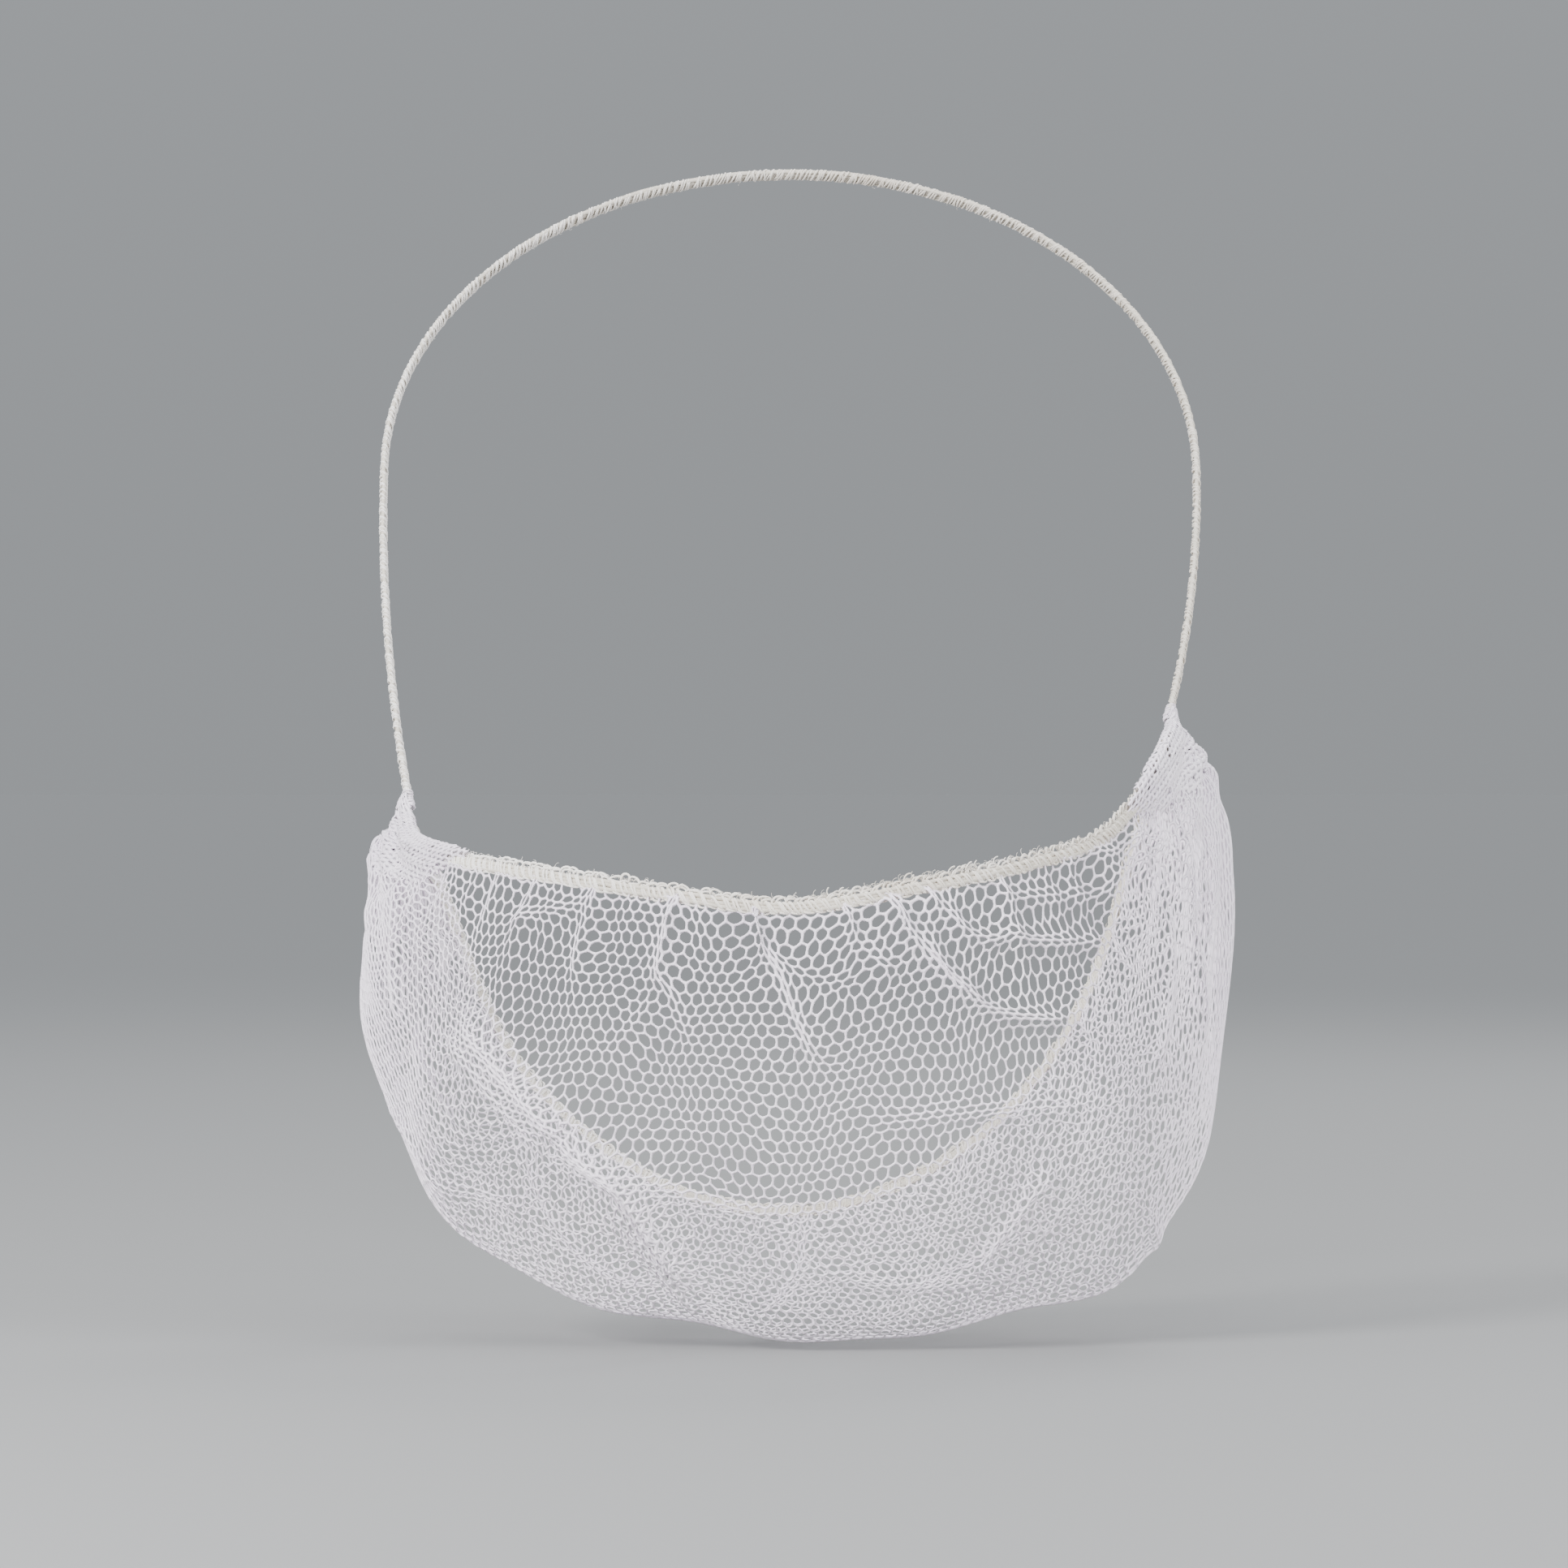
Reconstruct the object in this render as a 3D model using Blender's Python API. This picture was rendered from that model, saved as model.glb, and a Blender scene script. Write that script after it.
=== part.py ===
"""Beard cover of white honeycomb net, in the form that it keeps when worn.

A pouch of net has an overlocked elastic along its front edge, under the nose, and
another along its rear edge, behind the jaw. Both edges run together at a gather in
front of each ear, and one elastic strap goes from gather to gather behind the crown.
The origin is the middle of the strap's inner face, where it sits on the crown.
-Y is the front, +Z is up, and +X is the wearer's left.
"""
import math

import bmesh
import bpy
import numpy as np

MM = 0.001

# Gap between pieces that touch on the real cover
CLEARANCE = 0.3 * MM

# Net wall and elastics
NET_WALL = 1.0 * MM
BINDING_HEIGHT = 3.0 * MM
BINDING_THICKNESS = 1.6 * MM
STRAP_WIDTH = 3.2 * MM
STRAP_THICKNESS = 1.6 * MM

# Strap, measured in its own plane, which leans back from upright
STRAP_LEAN = math.radians(29.0)
GATHER_TO_TEMPLE = 67.0 * MM
TEMPLE_TO_CROWN = 69.0 * MM
TEMPLE_HALF_WIDTH = 79.5 * MM

# Front edge of the pouch
GATHER_HALF_WIDTH = 72.2 * MM
GATHER_SKEW = 16.6 * MM
FACE_DEPTH = 90.0 * MM
EDGE_SAG = 23.5 * MM

# Bottom fold and rear edge of the pouch. The rear edge runs into the same gathers.
POUCH_HALF_WIDTH = 81.0 * MM
POUCH_DROP = 102.6 * MM
THROAT_TO_GATHERS = 0.97
THROAT_HALF_WIDTH = THROAT_TO_GATHERS * GATHER_HALF_WIDTH
THROAT_DEPTH = 28.0 * MM
THROAT_DROP = 82.0 * MM
POUCH_PUFF = 11.0 * MM

# Where the front panel swells, as shares of the way from its edge to the fold, and
# how far the swell points down for each millimetre that it points outward
UPPER_SWELL_SHARE = 0.33
LOWER_SWELL_SHARE = 0.72
SWELL_DIP = 0.25

# Relief of the net: main folds, each with a shallow valley beside its crest
FOLD_HEIGHT = 2.4 * MM
FOLD_WIDTH = 3.6 * MM
VALLEY_DEPTH_SHARE = 0.4
VALLEY_OFFSET_SHARE = 1.7

# Small pleats that run into each gather, with the turns in degrees where they
# begin and where they are full, and the degrees over which they close at the gather
PLEAT_HEIGHT = 0.8 * MM
PLEATS = 5
PLEATS_BEGIN_TURN = 55.0
PLEATS_FULL_TURN = 77.0
PLEATS_CLOSE_TURN = 12.0

# Ripples down the net and round its fold: waves to a radian, phase and share
RIPPLE_HEIGHT = 1.1 * MM
RIPPLES = ((9.0, 0.6, 1.0), (17.0, 2.1, 0.6))
RIPPLES_FADE_TURN = 64.0
RIPPLES_END_TURN = 84.0

# The gathers, in degrees of turn from the chin
GATHER_TURN = 90.0

# Number of faces along and across each piece, and of points on a smooth path
POUCH_FACES = (68, 30)
BINDING_FACES = (64, 2)
STRAP_FACES = (96, 2)
PATH_POINTS = 121

# Sections of the pouch, from the right gather of the wearer (turn -90 degrees) past
# the chin (0) to the left one (90). Each length is a share of a named size.
# sag is how far the front edge hangs below the gathers, a share of EDGE_SAG.
# fold_out, fold_fore and fold_drop place the bottom fold sideways, forward and down,
# as shares of POUCH_HALF_WIDTH, FACE_DEPTH and POUCH_DROP.
# rear_out, rear_fore and rear_drop place the rear edge, as shares of
# THROAT_HALF_WIDTH, THROAT_DEPTH and THROAT_DROP.
# upper, lower and under swell the front panel and the underside, shares of POUCH_PUFF.
SECTION_COLUMNS = (
    "turn",
    "sag",
    "fold_out",
    "fold_fore",
    "fold_drop",
    "rear_out",
    "rear_fore",
    "rear_drop",
    "upper",
    "lower",
    "under",
)
SECTIONS = (
    (-90, 0.00, -0.95, 0.00, 0.06, -1.03, -0.07, 0.00, 0.05, 0.05, 0.00),
    (-86, 0.06, -0.97, 0.04, 0.08, -1.00, -0.14, 0.06, 0.10, 0.10, 0.05),
    (-78, 0.19, -0.98, 0.11, 0.15, -0.93, -0.30, 0.21, 0.15, 0.15, 0.15),
    (-66, 0.30, -0.97, 0.29, 0.40, -0.85, -0.40, 0.41, 0.25, 0.25, 0.30),
    (-52, 0.41, -0.87, 0.49, 0.66, -0.74, -0.25, 0.60, 0.40, 0.50, 0.35),
    (-36, 0.57, -0.63, 0.64, 0.83, -0.55, 0.20, 0.78, 0.65, 0.85, 0.35),
    (-18, 0.79, -0.32, 0.74, 0.95, -0.29, 0.75, 0.93, 0.85, 1.00, 0.35),
    (0, 1.00, 0.00, 0.78, 1.00, 0.00, 1.00, 1.00, 0.90, 1.00, 0.35),
    (18, 0.96, 0.31, 0.76, 1.02, 0.28, 0.75, 0.98, 0.85, 1.00, 0.35),
    (36, 0.89, 0.63, 0.68, 0.99, 0.54, 0.20, 0.88, 0.65, 0.85, 0.35),
    (52, 0.75, 0.84, 0.57, 0.89, 0.74, -0.25, 0.71, 0.40, 0.50, 0.35),
    (66, 0.38, 0.98, 0.39, 0.69, 0.85, -0.40, 0.52, 0.25, 0.25, 0.30),
    (78, 0.11, 1.02, 0.20, 0.36, 0.93, -0.30, 0.28, 0.15, 0.15, 0.15),
    (86, 0.03, 0.99, 0.06, 0.11, 1.00, -0.14, 0.10, 0.10, 0.10, 0.05),
    (90, 0.00, 0.94, 0.00, 0.06, 1.03, -0.07, 0.00, 0.05, 0.05, 0.00),
)

# Main folds of the net. Each is a crest between two places, given as degrees of turn
# and as shares of the way from the front edge to the rear edge. width and height
# are shares of FOLD_WIDTH and FOLD_HEIGHT.
FOLD_COLUMNS = (
    "turn_start",
    "reach_start",
    "turn_end",
    "reach_end",
    "width",
    "height",
)
FOLDS = (
    (-16, 0.00, -16, 0.13, 1.0, 0.9),
    (-5, 0.00, 3, 0.18, 0.9, 0.9),
    (15, 0.00, 22, 0.11, 1.0, 1.0),
    (21, 0.09, 35, 0.18, 1.0, 1.0),
    (20, 0.00, 41, 0.09, 0.8, 0.7),
    (-47, 0.17, -27, 0.32, 1.3, 1.0),
    (-29, 0.30, -11, 0.57, 1.3, 1.0),
    (63, 0.08, 54, 0.37, 1.6, 0.9),
    (-24, 0.41, 4, 0.40, 0.9, 0.5),
    (10, 0.28, 36, 0.30, 0.9, 0.5),
)


def smooth_curve(at, value, places):
    """Run a smooth curve through values and read it at the places asked."""
    slope = np.gradient(value, at, axis=0)
    index = np.clip(np.searchsorted(at, places, side="right") - 1, 0, len(at) - 2)
    span = at[index + 1] - at[index]
    t = (places - at[index]) / span
    if value.ndim > 1:
        span = span[:, None]
        t = t[:, None]
    ends = (2 * t**3 - 3 * t**2 + 1) * value[index] + (3 * t**2 - 2 * t**3) * value[index + 1]
    lean = (t**3 - 2 * t**2 + t) * slope[index] + (t**3 - t**2) * slope[index + 1]
    return ends + lean * span


def share(name, turns):
    """Read a column of the pouch's sections at the turns asked."""
    rows = np.array(SECTIONS, float)
    return smooth_curve(rows[:, 0], rows[:, SECTION_COLUMNS.index(name)], turns)


def points(x, y, z):
    """Join coordinates into an array of points."""
    x, y, z = np.broadcast_arrays(x, y, z)
    return np.stack([x, y, z], axis=-1)


def unit(vectors):
    """Give vectors a length of one."""
    return vectors / np.linalg.norm(vectors, axis=-1, keepdims=True)


def strap_plane(x, rise):
    """Place a point of the strap's plane, rise being measured up from the gathers."""
    below = rise - GATHER_TO_TEMPLE - TEMPLE_TO_CROWN + STRAP_THICKNESS / 2
    return points(x, below * math.sin(STRAP_LEAN), below * math.cos(STRAP_LEAN))


def gather_middle():
    """Return the point midway between the two gathers."""
    return strap_plane(0.0, 0.0)


def rails(turns):
    """Return the six rails of the pouch, from its front edge round to its rear edge."""
    middle = gather_middle()
    turn = np.radians(turns)
    level = middle[2] + GATHER_SKEW / 2 * np.sin(turn)
    fore = middle[1] - FACE_DEPTH * np.cos(turn)
    front = points(
        GATHER_HALF_WIDTH * np.sin(turn), fore, level - EDGE_SAG * share("sag", turns)
    )
    fold = points(
        POUCH_HALF_WIDTH * share("fold_out", turns),
        middle[1] - FACE_DEPTH * share("fold_fore", turns),
        level - POUCH_DROP * share("fold_drop", turns),
    )
    rear = points(
        THROAT_HALF_WIDTH * share("rear_out", turns),
        middle[1] - THROAT_DEPTH * share("rear_fore", turns),
        level - THROAT_DROP * share("rear_drop", turns),
    )
    outward = points(np.sin(turn), -np.cos(turn), -SWELL_DIP)
    upper = front + UPPER_SWELL_SHARE * (fold - front)
    upper = upper + outward * (POUCH_PUFF * share("upper", turns))[:, None]
    lower = front + LOWER_SWELL_SHARE * (fold - front)
    lower = lower + outward * (POUCH_PUFF * share("lower", turns))[:, None]
    down = points(0.0 * turn, 0.0, -1.0)
    under = 0.5 * (fold + rear) + down * (POUCH_PUFF * share("under", turns))[:, None]
    return np.stack([front, upper, lower, fold, under, rear], axis=1)


def lengths_along(path):
    """Return how far each point of a path lies along it."""
    step = np.linalg.norm(np.diff(path, axis=0), axis=1)
    return np.concatenate([[0.0], np.cumsum(step)])


def smooth_path(path):
    """Run a smooth curve through a few points and return many points of it."""
    at = lengths_along(path)
    return smooth_curve(at, path, np.linspace(0.0, at[-1], PATH_POINTS))


def at_lengths(path, lengths):
    """Return the points that lie the given lengths along a dense path."""
    at = lengths_along(path)
    return np.stack([np.interp(lengths, at, path[:, axis]) for axis in range(3)], axis=1)


def sections(turns):
    """Return a dense path of the pouch's section at each turn."""
    return [smooth_path(rail) for rail in rails(turns)]


def strip(turns, start, end, count):
    """Return a grid of points on the pouch, between two lengths along each section.

    A length below zero is measured back from the rear edge.
    """
    grid = []
    for path in sections(turns):
        total = lengths_along(path)[-1]
        first = start if start >= 0 else total + start
        last = end if end > 0 else total + end
        grid.append(at_lengths(path, np.linspace(first, last, count)))
    return np.array(grid)


def normals(grid):
    """Return the outward normals of a grid of points."""
    along = np.gradient(grid, axis=0)
    across = np.gradient(grid, axis=1)
    return unit(np.cross(across, along))


def fold_relief(turns, reaches):
    """Return the height of the main folds, as shares of FOLD_HEIGHT, over a grid."""
    turn, reach = np.meshgrid(turns, reaches, indexing="ij")
    mean_radius = (GATHER_HALF_WIDTH + FACE_DEPTH) / 2
    turn_length = math.radians(mean_radius)
    reach_length = POUCH_DROP + THROAT_DEPTH
    relief = np.zeros_like(turn)
    for row in FOLDS:
        fold = dict(zip(FOLD_COLUMNS, row))
        run_x = (fold["turn_end"] - fold["turn_start"]) * turn_length
        run_y = (fold["reach_end"] - fold["reach_start"]) * reach_length
        run = math.hypot(run_x, run_y)
        from_x = (turn - fold["turn_start"]) * turn_length
        from_y = (reach - fold["reach_start"]) * reach_length
        along = (from_x * run_x + from_y * run_y) / run**2
        across = (from_x * run_y - from_y * run_x) / run
        width = fold["width"] * FOLD_WIDTH
        crest = np.exp(-((across / width) ** 2))
        beside = across - VALLEY_OFFSET_SHARE * width
        crest = crest - VALLEY_DEPTH_SHARE * np.exp(-((beside / width) ** 2))
        from_end = np.minimum(along, 1.0 - along) * run
        fade = np.clip(from_end / FOLD_WIDTH + 0.5, 0.0, 1.0)
        relief += fold["height"] * crest * fade
    return relief


def pleat_relief(turns, reaches):
    """Return the height of the small pleats that run into the two gathers."""
    turn, reach = np.meshgrid(turns, reaches, indexing="ij")
    away = np.abs(turn)
    near = np.clip((away - PLEATS_BEGIN_TURN) / (PLEATS_FULL_TURN - PLEATS_BEGIN_TURN), 0.0, 1.0)
    fade = np.clip((GATHER_TURN - away) / PLEATS_CLOSE_TURN, 0.0, 1.0)
    return near * fade * np.sin(2.0 * math.pi * PLEATS * reach)


def ripple_relief(turns, reaches):
    """Return the height of the ripples that run down the net and round its fold."""
    turn, reach = np.meshgrid(turns, reaches, indexing="ij")
    wave = sum(part * np.sin(np.radians(turn) * rate + phase) for rate, phase, part in RIPPLES)
    swell = np.sin(math.pi * reach) ** 2
    fade = np.clip((RIPPLES_END_TURN - np.abs(turn)) / (RIPPLES_END_TURN - RIPPLES_FADE_TURN), 0.0, 1.0)
    return wave * swell * fade


def new_material(name, colour, roughness):
    """Make a plain fabric material."""
    material = bpy.data.materials.new(name)
    material.use_nodes = True
    shader = material.node_tree.nodes["Principled BSDF"]
    shader.inputs["Base Color"].default_value = (*colour, 1.0)
    shader.inputs["Roughness"].default_value = roughness
    material.diffuse_color = (*colour, 1.0)
    return material


def grid_object(name, grid, thickness, material):
    """Make a piece from a grid of points on its middle surface and a thickness."""
    rows, count = grid.shape[:2]
    shape = bmesh.new()
    bmesh.ops.create_grid(shape, x_segments=rows - 1, y_segments=count - 1, size=0.5)
    for vertex in shape.verts:
        row = round((vertex.co.x + 0.5) * (rows - 1))
        place = round((vertex.co.y + 0.5) * (count - 1))
        vertex.co = grid[row, place]
    mesh = bpy.data.meshes.new(name)
    shape.to_mesh(mesh)
    shape.free()
    mesh.materials.append(material)
    mesh.shade_smooth()
    piece = bpy.data.objects.new(name, mesh)
    bpy.context.scene.collection.objects.link(piece)
    solid = piece.modifiers.new("Thickness", "SOLIDIFY")
    solid.thickness = thickness
    solid.offset = 0.0
    return piece


def make_pouch(material):
    """Make the net wall, between the two bindings."""
    turns = np.linspace(-GATHER_TURN, GATHER_TURN, POUCH_FACES[0] + 1)
    reaches = np.linspace(0.0, 1.0, POUCH_FACES[1] + 1)
    inset = BINDING_HEIGHT + CLEARANCE
    grid = strip(turns, inset, -inset, len(reaches))
    relief = FOLD_HEIGHT * fold_relief(turns, reaches)
    relief = relief + PLEAT_HEIGHT * pleat_relief(turns, reaches)
    relief = relief + RIPPLE_HEIGHT * ripple_relief(turns, reaches)
    from_edge = np.minimum(reaches, 1.0 - reaches) * (POUCH_DROP + THROAT_DEPTH)
    flat_at_edges = np.clip(from_edge / (BINDING_HEIGHT * 3), 0.0, 1.0)
    grid = grid + normals(grid) * (relief * flat_at_edges)[..., None]
    return grid_object("net_pouch", grid, NET_WALL, material)


def make_binding(name, start, end, material):
    """Make an edge elastic, a band that covers the net's edge."""
    turns = np.linspace(-GATHER_TURN, GATHER_TURN, BINDING_FACES[0] + 1)
    grid = strip(turns, start, end, BINDING_FACES[1] + 1)
    return grid_object(name, grid, BINDING_THICKNESS, material)


def strap_centre():
    """Return a dense path along the strap, from gather to gather over the crown."""
    turn = np.linspace(math.pi, 0.0, PATH_POINTS)
    arch_x = TEMPLE_HALF_WIDTH * np.cos(turn)
    arch_rise = GATHER_TO_TEMPLE + TEMPLE_TO_CROWN * np.sin(turn)
    start = CLEARANCE + BINDING_THICKNESS / 2
    skew = GATHER_SKEW / 2 / math.cos(STRAP_LEAN)
    legs = []
    for side in (-1.0, 1.0):
        rise = np.linspace(start + side * skew, GATHER_TO_TEMPLE, PATH_POINTS, endpoint=False)
        down = (GATHER_TO_TEMPLE - rise) / (GATHER_TO_TEMPLE - side * skew)
        x = side * (TEMPLE_HALF_WIDTH - (TEMPLE_HALF_WIDTH - GATHER_HALF_WIDTH) * down**2)
        legs.append(strap_plane(x, rise))
    arch = strap_plane(arch_x, arch_rise)
    return np.concatenate([legs[0], arch, legs[1][::-1]])


def make_strap(material):
    """Make the head strap, a flat elastic that lies on the head along its width.

    Its two ends are cut level, so that they sit square on the gathers.
    """
    path = strap_centre()
    total = lengths_along(path)[-1]
    places = np.linspace(0.0, total, STRAP_FACES[0] + 1)
    centre = at_lengths(path, places)
    sideways = points(0.0, math.cos(STRAP_LEAN), -math.sin(STRAP_LEAN))
    upward = points(0.0, math.sin(STRAP_LEAN), math.cos(STRAP_LEAN))
    offsets = np.linspace(-0.5, 0.5, STRAP_FACES[1] + 1) * STRAP_WIDTH
    from_end = np.minimum(places, total - places) / STRAP_WIDTH
    level = np.clip(1.0 - from_end, 0.0, 1.0)[:, None] * offsets * math.tan(STRAP_LEAN)
    grid = centre[:, None, :] + offsets[None, :, None] * sideways
    grid = grid + level[..., None] * upward
    return grid_object("head_strap", grid, STRAP_THICKNESS, material)


def main():
    """Build the beard cover."""
    for old in list(bpy.data.objects):
        bpy.data.objects.remove(old, do_unlink=True)
    net = new_material("white nylon net", (0.79, 0.78, 0.83), 0.5)
    elastic = new_material("ivory overlocked elastic", (0.75, 0.71, 0.60), 0.8)
    make_pouch(net)
    make_binding("front_binding", 0.0, BINDING_HEIGHT, elastic)
    make_binding("rear_binding", -BINDING_HEIGHT, 0.0, elastic)
    make_strap(elastic)


main()
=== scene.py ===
"""Looks of the beard cover: honeycomb net, overlocked edge elastics and head strap.

The net is cut as one flat sheet of honeycomb, gathered on its two elastics, creased
where the cover creases, laid on the pouch's own surface and only then given round
threads. The elastics and the strap are cores of covered rubber with yarn sewn round them.
"""

import math

import bmesh
import bpy
import numpy as np
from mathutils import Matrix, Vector


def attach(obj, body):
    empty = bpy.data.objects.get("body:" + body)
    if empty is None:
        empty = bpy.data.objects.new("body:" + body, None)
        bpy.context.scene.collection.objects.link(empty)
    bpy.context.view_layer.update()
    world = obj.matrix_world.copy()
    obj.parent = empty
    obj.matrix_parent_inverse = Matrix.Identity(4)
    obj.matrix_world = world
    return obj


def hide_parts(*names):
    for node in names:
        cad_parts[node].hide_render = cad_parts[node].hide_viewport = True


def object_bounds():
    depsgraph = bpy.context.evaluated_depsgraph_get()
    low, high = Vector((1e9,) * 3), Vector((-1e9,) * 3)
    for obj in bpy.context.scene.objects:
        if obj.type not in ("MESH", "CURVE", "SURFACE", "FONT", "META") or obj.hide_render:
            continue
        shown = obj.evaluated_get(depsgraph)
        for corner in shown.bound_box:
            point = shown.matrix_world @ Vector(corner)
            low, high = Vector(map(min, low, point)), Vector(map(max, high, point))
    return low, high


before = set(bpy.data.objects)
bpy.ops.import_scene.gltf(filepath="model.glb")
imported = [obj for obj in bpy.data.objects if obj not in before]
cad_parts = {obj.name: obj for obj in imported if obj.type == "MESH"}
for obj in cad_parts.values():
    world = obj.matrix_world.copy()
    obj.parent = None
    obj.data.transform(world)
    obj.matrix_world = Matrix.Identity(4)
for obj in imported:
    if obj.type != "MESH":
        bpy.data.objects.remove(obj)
cad_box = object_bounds()

MM = 0.001
IMAGE_SIZE = 1932

# Pouch and strap, the same sizes as the solids have
BINDING_HEIGHT = 3.0 * MM
BINDING_THICKNESS = 1.6 * MM
CLEARANCE = 0.3 * MM
STRAP_THICKNESS = 1.6 * MM
STRAP_LEAN = math.radians(29.0)
GATHER_TO_TEMPLE = 67.0 * MM
TEMPLE_TO_CROWN = 69.0 * MM
TEMPLE_HALF_WIDTH = 79.5 * MM
GATHER_HALF_WIDTH = 72.2 * MM
GATHER_SKEW = 16.6 * MM
FACE_DEPTH = 90.0 * MM
EDGE_SAG = 23.5 * MM
POUCH_HALF_WIDTH = 81.0 * MM
POUCH_DROP = 102.6 * MM
THROAT_HALF_WIDTH = 0.97 * GATHER_HALF_WIDTH
THROAT_DEPTH = 28.0 * MM
THROAT_DROP = 82.0 * MM
POUCH_PUFF = 11.0 * MM
UPPER_SWELL = 0.33
LOWER_SWELL = 0.72
SWELL_DIP = 0.25
GATHER_TURN = 90.0

# Sections of the pouch from gather to gather, as shares of the sizes above
SECTION_COLUMNS = (
    "turn sag fold_out fold_fore fold_drop rear_out rear_fore rear_drop upper lower under"
).split()
SECTIONS = (
    (-90, 0.00, -0.95, 0.00, 0.06, -1.03, -0.07, 0.00, 0.05, 0.05, 0.00),
    (-86, 0.06, -0.97, 0.04, 0.08, -1.00, -0.14, 0.06, 0.10, 0.10, 0.05),
    (-78, 0.19, -0.98, 0.11, 0.15, -0.93, -0.30, 0.21, 0.15, 0.15, 0.15),
    (-66, 0.30, -0.97, 0.29, 0.40, -0.85, -0.40, 0.41, 0.25, 0.25, 0.30),
    (-52, 0.41, -0.87, 0.49, 0.66, -0.74, -0.25, 0.60, 0.40, 0.50, 0.35),
    (-36, 0.57, -0.63, 0.64, 0.83, -0.55, 0.20, 0.78, 0.65, 0.85, 0.35),
    (-18, 0.79, -0.32, 0.74, 0.95, -0.29, 0.75, 0.93, 0.85, 1.00, 0.35),
    (0, 1.00, 0.00, 0.78, 1.00, 0.00, 1.00, 1.00, 0.90, 1.00, 0.35),
    (18, 0.96, 0.31, 0.76, 1.02, 0.28, 0.75, 0.98, 0.85, 1.00, 0.35),
    (36, 0.89, 0.63, 0.68, 0.99, 0.54, 0.20, 0.88, 0.65, 0.85, 0.35),
    (52, 0.75, 0.84, 0.57, 0.89, 0.74, -0.25, 0.71, 0.40, 0.50, 0.35),
    (66, 0.38, 0.98, 0.39, 0.69, 0.85, -0.40, 0.52, 0.25, 0.25, 0.30),
    (78, 0.11, 1.02, 0.20, 0.36, 0.93, -0.30, 0.28, 0.15, 0.15, 0.15),
    (86, 0.03, 0.99, 0.06, 0.11, 1.00, -0.14, 0.10, 0.10, 0.10, 0.05),
    (90, 0.00, 0.94, 0.00, 0.06, 1.03, -0.07, 0.00, 0.05, 0.05, 0.00),
)

# Honeycomb of the net: from cell to cell, width and height of a thread, and how round
# the thread makes the corners of each hole, from 0 to 1
CELL_PITCH = 2.2 * MM
THREAD_TURNS = (0.0, 46.0, 68.0, 82.0, 90.0)
THREAD_WIDTHS = (0.38 * MM, 0.38 * MM, 0.52 * MM, 0.72 * MM, 0.85 * MM)
THREAD_HEIGHT = 0.34 * MM
CREST_SHARE = 0.15
EDGE_THREAD = 0.14 * MM
EDGE_CROWDING = 0.52
EDGE_REACH = 4.5 * MM
CORNER_ROUNDING = 0.38
THREAD_SHARE = 0.85
NET_INSET = 1.3 * MM
SIDES = {-1: "left", 1: "right"}
PANELS = ("net_front_right", "net_front_left", "net_under_right", "net_under_left")

# Elastics, all in place across the band: a cord in each place, and yarn sewn round them
CORD_STEP = 1.2 * MM
CORD_RADIUS = 0.42 * MM
CORD_PLACES = (-1.1 * MM, -0.5 * MM, 0.1 * MM)
STITCH_PITCH = 1.95 * MM
WRAP_STARTS = (0.0, 0.25)
WRAP_RADIUS = 0.25 * MM
WRAP_MIDDLE = -0.5 * MM
WRAP_SIZE = (0.98 * MM, 0.42 * MM)
WRAP_LEAN = 0.9
# Rows of loops: pitch, how far across their foot is, how far they rise, and their start
LOOP_ROWS = (
    (1.95 * MM, 0.2 * MM, 1.2 * MM, 0.0),
    (2.6 * MM, 0.2 * MM, 0.9 * MM, 0.45),
    (1.95 * MM, -1.2 * MM, -0.45 * MM, 0.3),
)
LOOP_RADIUS = 0.21 * MM
LOOP_FADE = 9.0 * MM
LOOP_LEAN = 0.11
LOOP_BOW = 0.6
LOOP_OUT = 0.22
# Unevenness: of stitches along, across and out; of loops along, up and out; of cords
STITCH_WANDER = (0.13, 0.09, 0.12)
LOOP_WANDER = (0.12, 0.30, 0.12)
CORD_WANDER = 0.16 * MM
# How much thicker or thinner yarns, loops and cords are from place to place
YARN_UNEVEN = 0.14
LOOP_UNEVEN = 0.12
CORD_UNEVEN = 0.08

# Head strap: cords side by side, and rows of wound yarn as pitch, lean and start
STRAP_CORD_RADIUS = 0.42 * MM
STRAP_CORD_PLACES = (-1.05 * MM, -0.35 * MM, 0.35 * MM, 1.05 * MM)
STRAP_WRAP_SIZE = (1.42 * MM, 0.60 * MM)
STRAP_YARN_RADIUS = 0.20 * MM
STRAP_WRAPS = (
    (2.1 * MM, 0.75, 0.0),
    (2.1 * MM, 0.75, 0.22),
    (2.1 * MM, 0.75, 0.5),
    (2.6 * MM, 0.15, 0.1),
)

# Bunched corners: the pitch of their cells, how far the cells are pulled long, how far
# they reach up the strap and over the elastic; away from the strap, how deep they are and
# how wide their threads; which share stays open, with which share of a thread; down over
# the elastic, how they rise and stand out; their pleats, the waves of their border, how
# it tucks in, where they leave the strap, and half their depth and width round it
BUNCH_PITCH = 1.1 * MM
BUNCH_STRETCH = 2.0
BUNCH_TIP = 1.6 * MM
BUNCH_OVER = 3.0 * MM
BUNCH_REACHES, BUNCH_DEPTHS, BUNCH_THREADS = MM * np.transpose(
    (
        (0.0, 10.0, 1.6),
        (18.0, 12.5, 1.5),
        (36.0, 9.5, 1.2),
        (54.0, 2.5, 0.7),
    )
)
BUNCH_SHARE = 0.93
BUNCH_OPEN_SHARE = 0.12
BUNCH_OPEN_THREAD = 0.55
BUNCH_UNEVEN = (0.85, 1.15)
BUNCH_SHAKE = 0.09 * BUNCH_PITCH
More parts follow.
